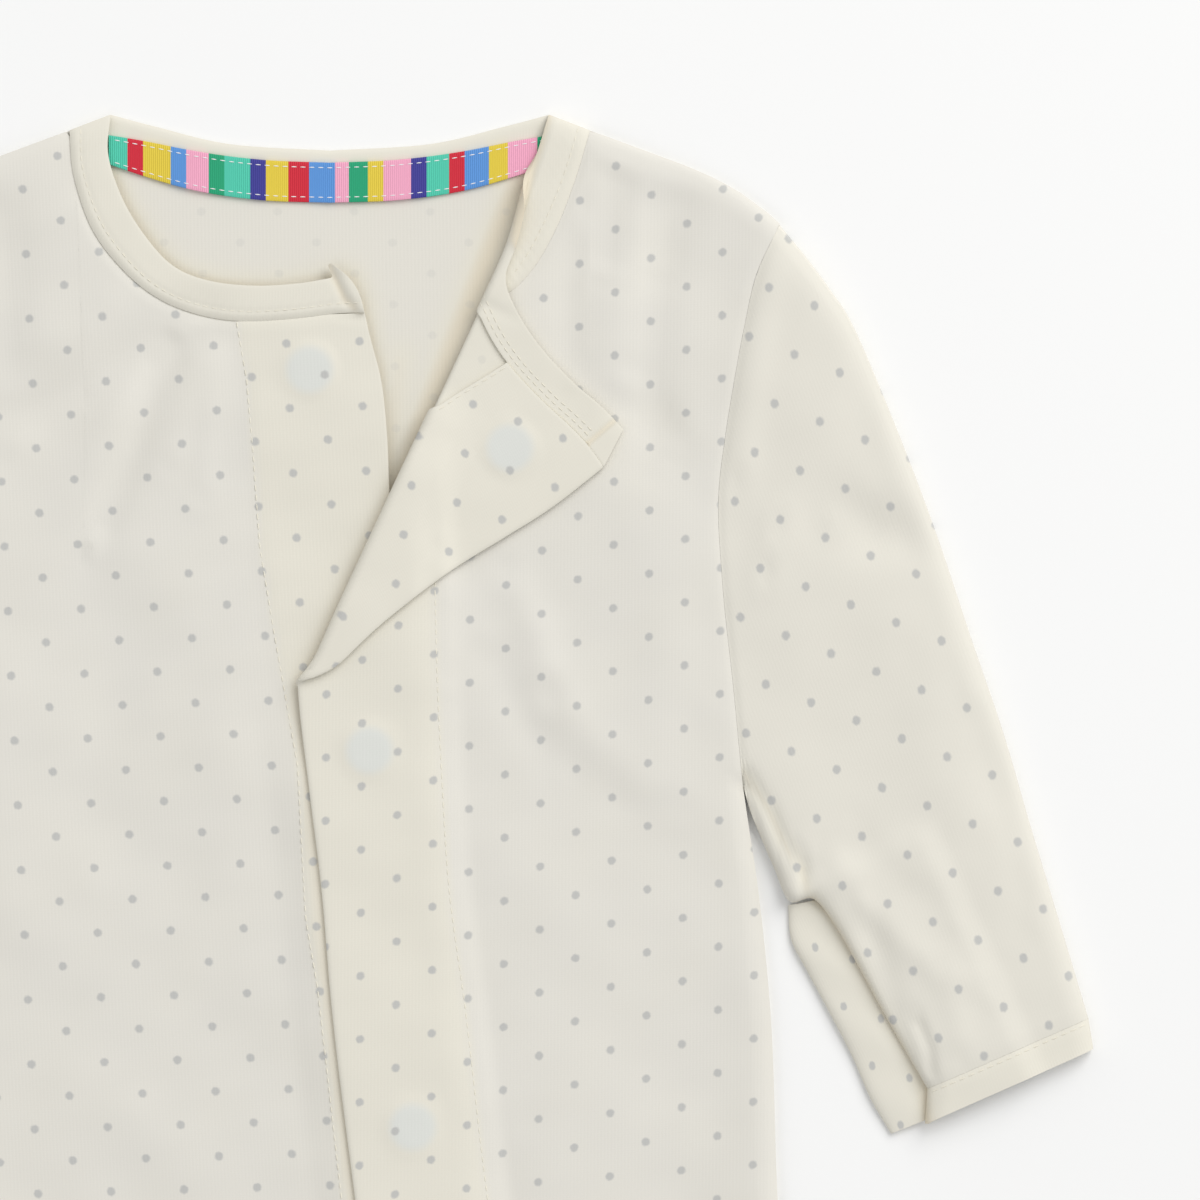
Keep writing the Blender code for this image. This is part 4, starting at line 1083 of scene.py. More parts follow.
@dataclass
class Shell:
    """A piece of cloth: first a flat sheet, then a thin wall with both its sides in place."""

    name: str
    bm: bmesh.types.BMesh = field(default_factory=bmesh.new)
    area: float = 0.0
    size: tuple[float, float] = (0.0, 0.0)

    def grid(self, columns: int, rows: int, place: Place) -> None:
        """Adds an open grid of points at place(u, v), with u and v from 0 to 1."""
        made, shares = unit_grid(self.bm, columns, rows)
        xs, ys = place(shares[:, 0], shares[:, 1])
        for vert, x, y in zip(made, xs, ys):
            vert.co = (x, y, 0.0)

    def cut(self, point: Sequence[float], normal: Sequence[float]) -> None:
        """Cuts the flat sheet along a straight line.

        Args:
            point: a point of the line.
            normal: the direction across it.
        """
        bmesh.ops.bisect_plane(
            self.bm,
            geom=[*self.bm.verts, *self.bm.edges, *self.bm.faces],
            dist=0.02,
            plane_co=(*point, 0.0),
            plane_no=(*normal, 0.0),
        )

    def fold_lines(self, steps: int = 9) -> None:
        """Cuts the flat left front where its turned corner bends."""
        roll = math.pi * (LAY.fold_radius + LAY.cloth / 2)
        bends = [*np.linspace(0.0, roll, steps), roll + LAY.settle / 2, roll + LAY.settle]
        foot, across = np.array(LAY.fold_foot), np.array(LAY.fold_across)
        for turned in bends:
            self.cut(foot - turned * across, across)

    def cover(self) -> float:
        """Gives the area of the sheet as it is now."""
        return sum(face.calc_area() for face in self.bm.faces)

    def raise_wall(
        self, low: Side, high: Side, printed: Print, state: Side, rim: float = 0.14
    ) -> None:
        """Gives the flat sheet its wall and writes its two maps.

        Args:
            low: where its lower side goes, from its flat points.
            high: where its upper side goes.
            printed: how the print lies on it.
            state: each flat point's distance to a magnet, and its doubled share with painted shade: 1
                doubled, 2 full painted shade.
            rim: how far its edges are rounded.
        """
        bm = self.bm
        bmesh.ops.remove_doubles(bm, verts=bm.verts[:], dist=0.01)
        self.area = self.cover()
        spread = np.ptp(np.array([vert.co for vert in bm.verts]), axis=0)
        self.size = (float(spread[0]), float(spread[1]))
        if self.area < STRIP_FILL * self.size[0] * self.size[1]:
            length = 0.5 * sum(side.calc_length() for side in bm.edges if side.is_boundary)
            self.size = (max(self.area / length, LEAST_SIZE), length)
        lower = bm.verts[:]
        raised = bmesh.ops.extrude_face_region(bm, geom=bm.faces[:])["geom"]
        upper = [item for item in raised if isinstance(item, bmesh.types.BMVert)]
        top_faces = {item for item in raised if isinstance(item, bmesh.types.BMFace)}
        bm.verts.index_update()
        flat = np.array([vert.co for vert in bm.verts])
        for verts, side in ((lower, low), (upper, high)):
            where = flat[[vert.index for vert in verts]]
            for vert, point in zip(verts, np.stack(side(where[:, 0], where[:, 1]), axis=1)):
                vert.co = point
        for face in bm.faces:
            face.material_index = 0 if face in top_faces else 1
        self.write_maps(flat, printed, np.stack(state(flat[:, 0], flat[:, 1]), axis=1))
        top = set(upper)
        rims = {f for f in bm.faces if f not in top_faces and any(v in top for v in f.verts)}
        bmesh.ops.recalc_face_normals(bm, faces=bm.faces[:])
        edges = [e for e in bm.edges if sum(f in rims for f in e.link_faces) == 1]
        bmesh.ops.bevel(
            bm, geom=edges, offset=rim, offset_type="OFFSET", segments=2, profile=0.5,
            affect="EDGES", material=-1, clamp_overlap=True,
        )

    def write_maps(self, flat: Array, printed: Print, states: Array) -> None:
        """Writes the print's steps and the cloth's state on every corner.

        Args:
            flat: each point's flat place, one row each.
            printed: how the print lies there.
            states: each point's distance to a magnet, and its doubled share with painted shade.
        """
        steps = np.stack(printed.read(flat[:, 0], flat[:, 1]), axis=1)
        new = self.bm.loops.layers.uv.new
        layers = [(new("print"), steps), (new("state"), states)]
        self.bm.verts.index_update()
        for face in self.bm.faces:
            for loop in face.loops:
                for layer, values in layers:
                    loop[layer].uv = values[loop.vert.index]

    def thicken(self, wall: float) -> None:
        """Gives an open tube its wall, with its right side outwards."""
        bm = self.bm
        bmesh.ops.recalc_face_normals(bm, faces=bm.faces[:])
        highest = max(bm.faces, key=lambda face: face.calc_center_median().z)
        if highest.normal.z < 0:
            bmesh.ops.reverse_faces(bm, faces=bm.faces[:])
        outside = set(bm.faces)
        bmesh.ops.solidify(bm, geom=bm.faces[:], thickness=wall)
        for face in bm.faces:
            face.material_index = 0 if face in outside else 1

    def finish(
        self, materials: Sequence[bpy.types.Material], slot: Slot, nodes: Sequence[str],
        half: Half = Half.LEFT,
    ) -> bpy.types.Object:
        """Makes the object in metres, which rides on the garment and stands for CAD nodes."""
        if half is Half.RIGHT:
            bmesh.ops.scale(self.bm, vec=(-1.0, 1.0, 1.0), verts=self.bm.verts[:])
            bmesh.ops.reverse_faces(self.bm, faces=self.bm.faces[:])
        return finish_piece(self.name, self.bm, materials, slot, nodes)


def finish_piece(
    name: str, bm: bmesh.types.BMesh, materials: Sequence[bpy.types.Material], slot: Slot,
    nodes: Sequence[str] = (),
) -> bpy.types.Object:
    """Turns a mesh in millimetres into a piece of the garment.

    Args:
        name: the piece's name.
        bm: its mesh, which is freed.
        materials: its materials, in the order of their indices.
        slot: the record's slot of its finish; not used.
        nodes: the CAD nodes that it stands for.

    Returns:
        The finished object.
    """
    bmesh.ops.scale(bm, vec=(MM,) * 3, verts=bm.verts[:])
    mesh = bpy.data.meshes.new(name)
    bm.to_mesh(mesh)
    bm.free()
    for material in materials:
        mesh.materials.append(material)
    mesh.shade_smooth()
    mesh.set_sharp_from_angle(angle=math.radians(55))
    made = bpy.data.objects.new(name, mesh)
    bpy.context.scene.collection.objects.link(made)
    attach(made, "root")
    if nodes:
        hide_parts(*nodes)
    LOG.info("%s: %d faces", name, len(mesh.polygons))
    return made


def declare(
    piece: bpy.types.Object, shell: Shell, held: str, rests_on: Sequence[str], **more: object
) -> None:
    """Works out a piece's size and area, which are nominal on an arm's pieces; nothing more is done
    with them.

    Args:
        piece: the finished piece; not used.
        shell: the shell that it was made from, with its size and area.
        held: how the cloth is held; not used.
        rests_on: the pieces that it rests on; not used.
        **more: the pieces of thread that go with it; not used.
    """
    width, length = shell.size
    area = min(shell.area, width * length)


# ---- Sewing ---------------------------------------------------------------------------------------
FINE = {"pitch": 2.3, "length": 1.7, "width": 0.3}  # the binding's stitches


@dataclass
class Stitching:
    """Rows of single stitches, each a small rounded bead of thread on the cloth."""

    name: str
    pitch: float = 2.5
    length: float = 1.9
    width: float = 0.36
    bm: bmesh.types.BMesh = field(default_factory=bmesh.new)

    def sew(self, path: Array) -> None:
        """Sews a row of stitches.

        Args:
            path: its points on the cloth's surface, one row each.
        """
        steps = np.linalg.norm(np.diff(path, axis=0), axis=1)
        run = np.concatenate([[0.0], np.cumsum(steps)])
        count = max(2, int(run[-1] / self.pitch))
        for index in range(count):
            middle = (index + 0.5) * run[-1] / count
            ends = [
                np.array([np.interp(middle + shift, run, path[:, axis]) for axis in range(3)])
                for shift in (-0.3 * self.pitch, 0.3 * self.pitch)
            ]
            along = Vector(ends[1] - ends[0]).normalized()
            side = Vector((0.0, 0.0, 1.0)).cross(along).normalized()
            up = along.cross(side)
            turn = Matrix((along, side, up)).transposed().to_4x4()
            size = Matrix.Diagonal((self.length, self.width, 0.6 * self.width, 1.0))
            centre = Vector((ends[0] + ends[1]) / 2)
            bmesh.ops.create_uvsphere(
                self.bm, u_segments=6, v_segments=4, radius=0.5,
                matrix=Matrix.Translation(centre) @ turn @ size,
            )

    def finish(self, material: bpy.types.Material, slot: Slot) -> bpy.types.Object:
        """Makes the rows one piece."""
        return finish_piece(self.name, self.bm, [material], slot)


def path_on(side: Side, x: Array, y: Array, lift: float = 0.05) -> Array:
    """Gives points on a side of the cloth, raised a little off it."""
    points = np.stack(side(x, y), axis=1)
    points[:, 2] += lift
    return points


# ---- Body -----------------------------------------------------------------------------------------
@dataclass
class Body:
    """The back, both fronts and the placket's facing."""

    finishes: Wardrobe
    rows: int = 230
    placket_columns: int = 20
    left_columns: int = 46
    right_columns: int = 56
    strip_columns: int = 20
    back_columns: int = 50
    seam_gap: float = 0.02
    neck_gap: float = 0.02
    neck_centre: float = 0.8
    right_neck_end: float = 0.925
    left_stitch_at: float = 0.6
    hem_depth: float = 12.0
    hem_rise: float = 0.35
    placket_rise: float = 0.3
    underlap_rise: float = 1.2
    underlap_reach: tuple[float, float] = (12.0, 10.0)
    underlap_ends: tuple[float, float] = (108.0, 26.0)
    right_magnet_rise: float = 0.4
    right_sink: float = 0.3
    back_wave: float = 0.25
    side_pull: float = 5.0
    wedge: tuple = ((18.4, 217.0), (16.1, 183.0))
    back_neck_part: float = 0.7
    right_neck_part: float = 0.8
    left_neck_part: float = 0.72

    def build(self) -> None:
        """Builds the panels and their sewing."""
        self.back()
        self.right_front()
        self.left_front()
        self.facing()

    def hem_band(self, y: Array) -> Array:
        """Gives the extra height of the turned hem at the foot of a leg."""
        return self.hem_rise * (1.0 - smooth_step((y - LAY.hem_y - self.hem_depth) / 1.6))

    def back(self) -> None:
        """Builds the back, one piece from neck to both hems, flat on the surface."""
        shell = Shell("back_cloth")
        centre_y = float(neck_point(BACK_NECK, "seam", 0.0, self.neck_gap)[1])
        half = patch(
            body_edge("inner", centre_y),
            body_edge("side", LAY.shoulder_tip_y, self.seam_gap),
            hem_edge("inner", "side", self.seam_gap),
            neck_then_shoulder(BACK_NECK, 0.0, 1.0, self.back_neck_part, self.neck_gap),
            self.side_pull,
        )
        shell.grid(self.back_columns, self.rows // 2, half)
        shell.grid(self.back_columns, self.rows // 2, mirrored(half))

        def high(x: Array, y: Array) -> tuple[Array, Array, Array]:
            """Places the back's upper side, with low waves."""
            wave = 0.0
            for swell in SWELLS:
                along = x * math.cos(swell.turn) + y * math.sin(swell.turn)
                turns = 2 * math.pi * along / swell.length + swell.phase
                wave = wave + self.back_wave * swell.height * np.sin(turns)
            return x, y, LAY.cloth + wave

        shell.raise_wall(
            lambda x, y: (x, y, 0.0 * x), high, BACK_PRINT, self.inside_state
        )
        piece = shell.finish(
            [self.finishes.inside, self.finishes.dotted], Slot.DOTTED, ["back_body"]
        )
        declare(piece, shell, "laid", ["floor"])

    def inside_state(self, x: Array, y: Array) -> tuple[Array, Array]:
        """Gives the back's state: a warm tone, and painted warm shade in the hollows beside what lies
        on it.
        """
        # painted shade: beside the turned corner, the neck's opening and the wedge
        painted_shade = np.maximum(
            LAY.crevice_shade(x, y, LAY.turned_line, 4.5), 0.8 * LAY.crevice_shade(x, y, LAY.opening, 3.5)
        )
        painted_shade = np.maximum(painted_shade, 0.6 * LAY.crevice_shade(x, y, np.array(self.wedge), 5.0))
        return 0.0 * x + FAR, 0.35 + 1.25 * painted_shade

    def right_doubled(self, x: Array, y: Array) -> Array:
        """Gives 1 on the right front's doubled placket, falling to 0 over its stitching."""
        return smooth_step((x - right_stitch(y) + 0.8) / 1.6)

    def right_top(self, x: Array, y: Array) -> tuple[Array, Array, Array]:
        """Places the right side of the right front."""
        doubled = self.placket_rise * self.right_doubled(x, y)
        magnets = self.right_magnet_rise * LAY.pocket(x, y, RIGHT_MAGNETS)
        reach, ramp = self.underlap_reach
        under = self.underlap_rise * smooth_step((x - edge("closed", y) + reach) / ramp)
        top, fade = self.underlap_ends
        under = under * (1.0 - smooth_step((y - top) / fade))
        ground = LAY.base(x, y) + LAY.cloth - self.right_sink
        return x, y, ground + doubled + magnets + under + self.hem_band(y)

    def right_front(self) -> None:
        """Builds the right front with the crotch and the underlap down the left leg."""
        shell = Shell("right_front_cloth")
        centre = neck_point(NECK, "seam", self.neck_centre, self.neck_gap)
        half = patch(
            body_edge("inner", float(centre[1])),
            body_edge("side", LAY.shoulder_tip_y, self.seam_gap),
            hem_edge("inner", "side", self.seam_gap),
            neck_then_shoulder(NECK, self.neck_centre, 0.0, self.right_neck_part, self.neck_gap),
            self.side_pull,
        )
        shell.grid(self.right_columns, self.rows, mirrored(half))
        end = neck_point(NECK, "seam", self.right_neck_end, self.neck_gap)
        strip = patch(
            body_edge("inner", float(centre[1])),
            body_edge("under", float(end[1])),
            hem_edge("inner", "under"),
            straight((0.0, float(centre[1])), (-float(end[0]), float(end[1]))),
        )
        shell.grid(self.strip_columns, self.rows, strip)

        def state(x: Array, y: Array) -> tuple[Array, Array]:
            """Gives the right front's distance to its magnets, and its doubled share with painted
            shade beside the left front's closed edge and turned corner.
            """
            doubled = self.right_doubled(x, y)
            # painted shade: warm tan beside the left front's closed edge and turned corner
            painted_shade = LAY.crevice_shade(x, y, LAY.turned_line, 2.4)
            return LAY.to_magnet(x, y, RIGHT_MAGNETS), doubled * (1.0 - painted_shade) + 1.3 * painted_shade

        shell.raise_wall(
            lambda x, y: (x, y, LAY.base(x, y)), self.right_top, RIGHT_PRINT, state
        )
        piece = shell.finish(
            [self.finishes.dotted, self.finishes.inside], Slot.DOTTED, ["front_right"]
        )
        sewing = Stitching("right_front_sewing")
        ys = np.linspace(227.0, LAY.hem_y + 1.0, 400)
        sewing.sew(path_on(self.right_top, right_stitch(ys), ys))
        hem_y = LAY.hem_y + self.hem_depth
        xs = np.linspace(-float(edge("side", hem_y)) + 2.0, -float(edge("inner", hem_y)) - 2.0, 60)
        sewing.sew(path_on(self.right_top, xs, 0.0 * xs + hem_y))
        threads = sewing.finish(self.finishes.thread, Slot.BINDING)
        declare(piece, shell, "laid", ["back_cloth"], with_pieces=[threads])

    def placket(self, gap: float) -> Place:
        """Gives the left front between its closed edge and its placket's stitching, laid flat.

        Args:
            gap: how far it keeps from the neck's seam.

        Returns:
            The sheet's place(u, v).
        """
        end, stitch = (neck_point(LEFT_NECK, "seam", s, gap) for s in (1.0, self.left_stitch_at))
        sheet = patch(
            body_edge("closed", float(end[1])),
            body_edge("stitch", float(stitch[1])),
            hem_edge("closed", "stitch"),
            lambda share: neck_point(
                LEFT_NECK, "seam", 1 - (1 - self.left_stitch_at) * np.asarray(share, float), gap
            ),
        )
        # The first columns crowd on the closed edge, which they round.
        return lambda u, v: sheet(np.interp(u, (0.0, 0.2, 1.0), (0.0, 0.05, 1.0)), v)

    def left_state(self, x: Array, y: Array) -> tuple[Array, Array]:
        """Gives the left front's distance to its magnets and its share of doubled cloth."""
        turned = smooth_step(LAY.fold_place(x, y)[2] / 2.0)
        doubled = LAY.stepped("stitch", (-0.8, 0.8), x, y)
        return LAY.to_magnet(x, y, LEFT_MAGNETS), np.maximum(doubled, turned)

    def left_front(self) -> None:
        """Builds the left front, its top corner turned back along the fold."""
        shell = Shell("left_front_cloth")
        stitch = neck_point(LEFT_NECK, "seam", self.left_stitch_at, self.neck_gap)
        panel = patch(
            body_edge("stitch", float(stitch[1])),
            body_edge("side", LAY.shoulder_tip_y, self.seam_gap),
            hem_edge("stitch", "side", self.seam_gap),
            neck_then_shoulder(
                LEFT_NECK, self.left_stitch_at, 0.0, self.left_neck_part, self.neck_gap
            ),
            self.side_pull,
        )
        shell.grid(self.placket_columns, self.rows, self.placket(self.neck_gap))
        shell.grid(self.left_columns, self.rows, panel)
        bmesh.ops.remove_doubles(shell.bm, verts=shell.bm.verts[:], dist=0.01)
        shell.fold_lines()

        def high(x: Array, y: Array) -> tuple[Array, Array, Array]:
            """Places the left front's right side, with its hem."""
            new_x, new_y, z = LAY.front_side(x, y, inner=False)
            return new_x, new_y, z + self.hem_band(y)

        shell.raise_wall(
            lambda x, y: LAY.front_side(x, y, inner=True), high, LEFT_PRINT, self.left_state
        )
        piece = shell.finish(
            [self.finishes.dotted, self.finishes.inside], Slot.DOTTED, ["front_left"]
        )
        sewing = Stitching("left_front_sewing")
        ys = np.linspace(LAY.hem_y + 1.0, 200.0, 400)
        sewing.sew(path_on(high, edge("stitch", ys) - 0.6, ys))
        hem_y = LAY.hem_y + self.hem_depth
        xs = np.linspace(float(edge("closed", hem_y)) + 1.5, float(edge("side", hem_y)) - 2.0, 60)
        sewing.sew(path_on(high, xs, 0.0 * xs + hem_y))
        threads = sewing.finish(self.finishes.thread, Slot.BINDING)
        declare(piece, shell, "folded", ["right_front_cloth"], with_pieces=[threads])

    def facing(self) -> None:
        """Builds the facing behind the placket, which shows where the corner is turned."""
        shell = Shell("facing_cloth")
        shell.grid(self.placket_columns, self.rows, self.placket(self.neck_gap))
        shell.fold_lines()
        shell.raise_wall(
            lambda x, y: LAY.facing_side(x, y, outer=True),
            lambda x, y: LAY.facing_side(x, y, outer=False),
            FACING_PRINT,
            self.left_state,
        )
        piece = shell.finish(
            [self.finishes.inside, self.finishes.dotted], Slot.DOTTED, ["placket_facing"]
        )
        sewing = Stitching("facing_sewing")
        ys = np.linspace(205.0, 226.0, 24)
        sewing.sew(path_on(lambda x, y: LAY.facing_side(x, y, True), edge("stitch", ys) - 0.9, ys))
        threads = sewing.finish(self.finishes.thread, Slot.BINDING)
        declare(piece, shell, "folded", ["left_front_cloth"], with_pieces=[threads])


# ---- Neck -----------------------------------------------------------------------------------------
@dataclass
class NeckEdge:
    """The binding round the neck and the striped tape over the back neck seam."""

    finishes: Wardrobe
    proud: float = 0.38
    stitch_at: float = 0.27
    columns: int = 14
    rows: int = 150
    pucker: float = 2.5
    pucker_height: float = 0.05
    groove: float = 0.16
    right_end: float = 0.925
    lip_width: float = 9.4
    lip_drop: float = 0.7
    tab_line: tuple = ((-6.7, 226.0), (-6.6, 241.0))
    end_line: tuple = ((-0.5, 242.0), (3.9, 232.4), (6.4, 230.4))

    def build(self) -> None:
        """Builds the three stretches of binding and the tape."""
        self.left()
        self.right()
        self.back()
        self.tape()

    def strip(self, stations: Sequence[NeckStation], start: float, end: float) -> Place:
        """Gives the binding between its seam (u = 0) and its open edge (u = 1).

        Args:
            stations: the neck's crossings.
            start: the neck's share at v = 0.
            end: the neck's share at v = 1.

        Returns:
            The binding's place(u, v).
        """

        def place(u: Array, v: Array) -> tuple[Array, Array]:
            """Gives the binding's x and y."""
            share = start + (end - start) * v
            seam, rim = (neck_point(stations, name, share) for name in ("seam", "edge"))
            return tuple(a + (b - a) * u for a, b in zip(seam, rim))

        return place

    def relief(self, stations: Sequence[NeckStation], x: Array, y: Array) -> Array:
        """Gives the binding's height over its ground.

        Args:
            stations: the neck's crossings.
            x: each point's x.
            y: each point's y.

        Returns:
            The height of its padding, less the sunk and puckered row of stitches.
        """
        share = np.linspace(0.0, 1.0, 160)
        from_seam, from_rim = (
            distance_to(bent_line(stations, name, share), x, y) for name in ("seam", "edge")
        )
        u = from_seam / np.maximum(from_seam + from_rim, 1e-6)
        crown = np.sqrt(np.clip(1.0 - (np.clip(u - 0.45, 0.0, 1.0) / 0.56) ** 2, 0.0, 1.0))
        sunk = np.exp(-(((u - self.stitch_at) / 0.07) ** 2))
        wave = np.sin(2.0 * math.pi * (x + 0.6 * y) / self.pucker)
        body = self.proud * (0.25 + 0.75 * crown) * smooth_step(u / 0.14) - self.groove * sunk
        return body + self.pucker_height * wave * np.exp(-(((u - self.stitch_at) / 0.3) ** 2))

    def sew_along(self, name: str, place: Place, side: Side) -> bpy.types.Object:
        """Sews the binding's row of stitches along its seam."""
        sewing = Stitching(name, **FINE)
        v = np.linspace(0.004, 0.996, 300)
        x, y = place(0.0 * v + self.stitch_at, v)
        sewing.sew(path_on(side, x, y, 0.06))
        return sewing.finish(self.finishes.thread, Slot.BINDING)

    def past_rim(self, x: Array, y: Array) -> Array:
        """Gives how far each point is past the binding's own width, where its rim rolls inwards."""
        seam = bent_line(LEFT_NECK, "seam", np.linspace(0.0, 1.0, 160))
        upper = smooth_step((y - 246.0) / 3.0)
        return upper * np.maximum(distance_to(seam, x, y) - self.lip_width, 0.0)

    def left(self) -> None:
        """Builds the left front's share, turned over with its corner."""
        shell = Shell("left_binding")
        strip = self.strip(LEFT_NECK, 0.0, 1.0)
        shell.grid(self.columns, self.rows, strip)
        shell.fold_lines()

        def high(x: Array, y: Array) -> tuple[Array, Array, Array]:
            """Places the binding's right side."""
            drop = np.minimum(0.3 * self.past_rim(x, y), self.lip_drop)
            return LAY.left_front(x, y, drop - self.relief(LEFT_NECK, x, y))

        def low(x: Array, y: Array) -> tuple[Array, Array, Array]:
            """Places the binding's inner side, which shows where the corner is turned."""
            drop = np.minimum(0.2 * self.past_rim(x, y), 0.6 * self.lip_drop)
            sunk = 0.45 * np.exp(-((distance_to(self.tab_line, x, y) / 0.8) ** 2))
            tab = 0.3 * smooth_step((-6.6 - x) / 1.0)
            return LAY.left_front(x, y, LAY.cloth + 0.3 + drop + tab - sunk)

        def state(x: Array, y: Array) -> tuple[Array, Array]:
            """Gives the binding's doubled tone, with painted shade past its rim and along the tab's
            seam.
            """
            # painted shade: where the binding's rim rolls under, and in the tab's seam
            painted_shade = 0.8 * smooth_step(self.past_rim(x, y) / 2.6)
            seam = 0.45 * np.exp(-((distance_to(self.tab_line, x, y) / 0.7) ** 2))
            return 0.0 * x + FAR, 1.0 + np.maximum(painted_shade, seam)

        shell.raise_wall(low, high, LEFT_PRINT, state, 0.22)
        piece = shell.finish([self.finishes.plain] * 2, Slot.BINDING, ["neck_binding_left"])
        sewn = self.strip(LEFT_NECK, 0.0, 0.33)
        threads = [self.sew_along("left_binding_sewing", sewn, high)]
        for number, across in enumerate((0.18, 0.34), start=1):
            name = f"left_binding_inner_sewing_{number}"
            sewing = Stitching(name, **FINE)
            v = np.linspace(0.36, 0.88, 200)
            sewing.sew(path_on(low, *strip(0.0 * v + across, v), 0.06))
            threads.append(sewing.finish(self.finishes.thread, Slot.BINDING))
        declare(piece, shell, "folded", ["left_front_cloth"], with_pieces=threads)

    def right(self) -> None:
        """Builds the right front's share, up to its own placket, where its end curls up."""
        shell = Shell("right_binding")
        strip = mirrored(self.strip(NECK, 0.0, self.right_end))

        def place(u: Array, v: Array) -> tuple[Array, Array]:
            """Gives the binding's x and y, with its end curled up."""
            x, y = strip(u, v)
            end, bow = smooth_step((v - 0.86) / 0.14), np.sin(math.pi * u)
            return x + end * (1.6 * bow - 5.4 * u), y + end * (1.0 * bow + 3.3 * u)

        shell.grid(self.columns, self.rows, place)

        def high(x: Array, y: Array) -> tuple[Array, Array, Array]:
            """Places the binding's right side."""
            sunk = 0.3 * np.exp(-((distance_to(self.end_line, x, y) / 1.2) ** 2))
            curled = 0.8 * smooth_step((x - 0.5 * (241.0 - y) + 1.0) / 4.0)
            ground = LAY.base(x, y) + LAY.cloth + self.relief(NECK, -x, y)
            return x, y, ground + curled - sunk

        def state(x: Array, y: Array) -> tuple[Array, Array]:
            """Gives the binding's doubled tone, with painted shade along its end's seam."""
            # painted shade: in the seam at the binding's curled end
            painted_shade = np.exp(-((distance_to(self.end_line, x, y) / 0.9) ** 2))
            return 0.0 * x + FAR, 1.0 + 0.5 * painted_shade

        shell.raise_wall(lambda x, y: (x, y, LAY.base(x, y)), high, LEFT_PRINT, state, 0.22)
        piece = shell.finish([self.finishes.plain] * 2, Slot.BINDING, ["neck_binding_right"])
        threads = self.sew_along("right_binding_sewing", strip, high)
        declare(piece, shell, "laid", ["right_front_cloth"], with_pieces=[threads])

    def back(self) -> None:
        """Builds the back's share, between the shoulders."""
        shell = Shell("back_binding")
        half = self.strip(BACK_NECK, 0.0, 1.0)
        shell.grid(8, self.rows // 2, half)
        shell.grid(8, self.rows // 2, mirrored(half))

        def high(x: Array, y: Array) -> tuple[Array, Array, Array]:
            """Places the binding's upper side, rounded to its open edge."""
            rim = bent_line(BACK_NECK, "edge", np.linspace(0.0, 1.0, 80))
            near = np.clip(distance_to(rim, np.abs(x), y) / 1.5, 0.0, 1.0)
            return x, y, LAY.cloth - 0.3 + 0.5 * np.sqrt(1.0 - (1.0 - near) ** 2)

        shell.raise_wall(
            lambda x, y: (x, y, 0.0 * x), high, LEFT_PRINT,
            lambda x, y: (0.0 * x + FAR, 0.0 * x + 1.0),
        )
        piece = shell.finish([self.finishes.plain] * 2, Slot.BINDING, ["neck_binding_back"])
        declare(piece, shell, "laid", ["floor"])

    def tape(self) -> None:
        """Builds the striped tape sewn over the back neck seam."""
        shell = Shell("neck_tape_cloth")
        half_length = TAPE[-1].x

        def place(u: Array, v: Array) -> tuple[Array, Array]:
            """Gives the tape's x and y."""
            x = (2 * v - 1) * half_length
            low, high = (
                hermite([row.x for row in TAPE], [getattr(row, name) for row in TAPE], np.abs(x))
                for name in ("low", "high")
            )
            return x, low + (high - low) * u

        shell.grid(10, 180, place)
        along = Print((-half_length, 0.0), (2 * half_length, 0.0), (0.0, 10.0))

        def high(x: Array, y: Array) -> tuple[Array, Array, Array]:
            """Places the tape's upper side, a little uneven."""
            sag = 0.12 * np.sin(x / 7.0) + 0.08 * np.sin(x / 3.1 + 1.0)
            return x, y, LAY.layer + 0.75 + sag

        shell.raise_wall(
            lambda x, y: (x, y, 0.0 * x + LAY.layer + 0.05), high, along,
            lambda x, y: (0.0 * x + FAR, 0.0 * x), 0.15,
        )
        piece = shell.finish([self.finishes.tape] * 2, Slot.TAPE, ["neck_tape"])
        sewing = Stitching("neck_tape_sewing", pitch=2.3, length=1.5, width=0.28)
        v = np.linspace(0.01, 0.99, 200)
        for across in (0.13, 0.87):
            x, y = place(0.0 * v + across, v)
            sewing.sew(path_on(high, x, y))
        threads = sewing.finish(self.finishes.pale_thread, Slot.TAPE)
        declare(piece, shell, "laid", ["back_cloth", "back_binding"], with_pieces=[threads])


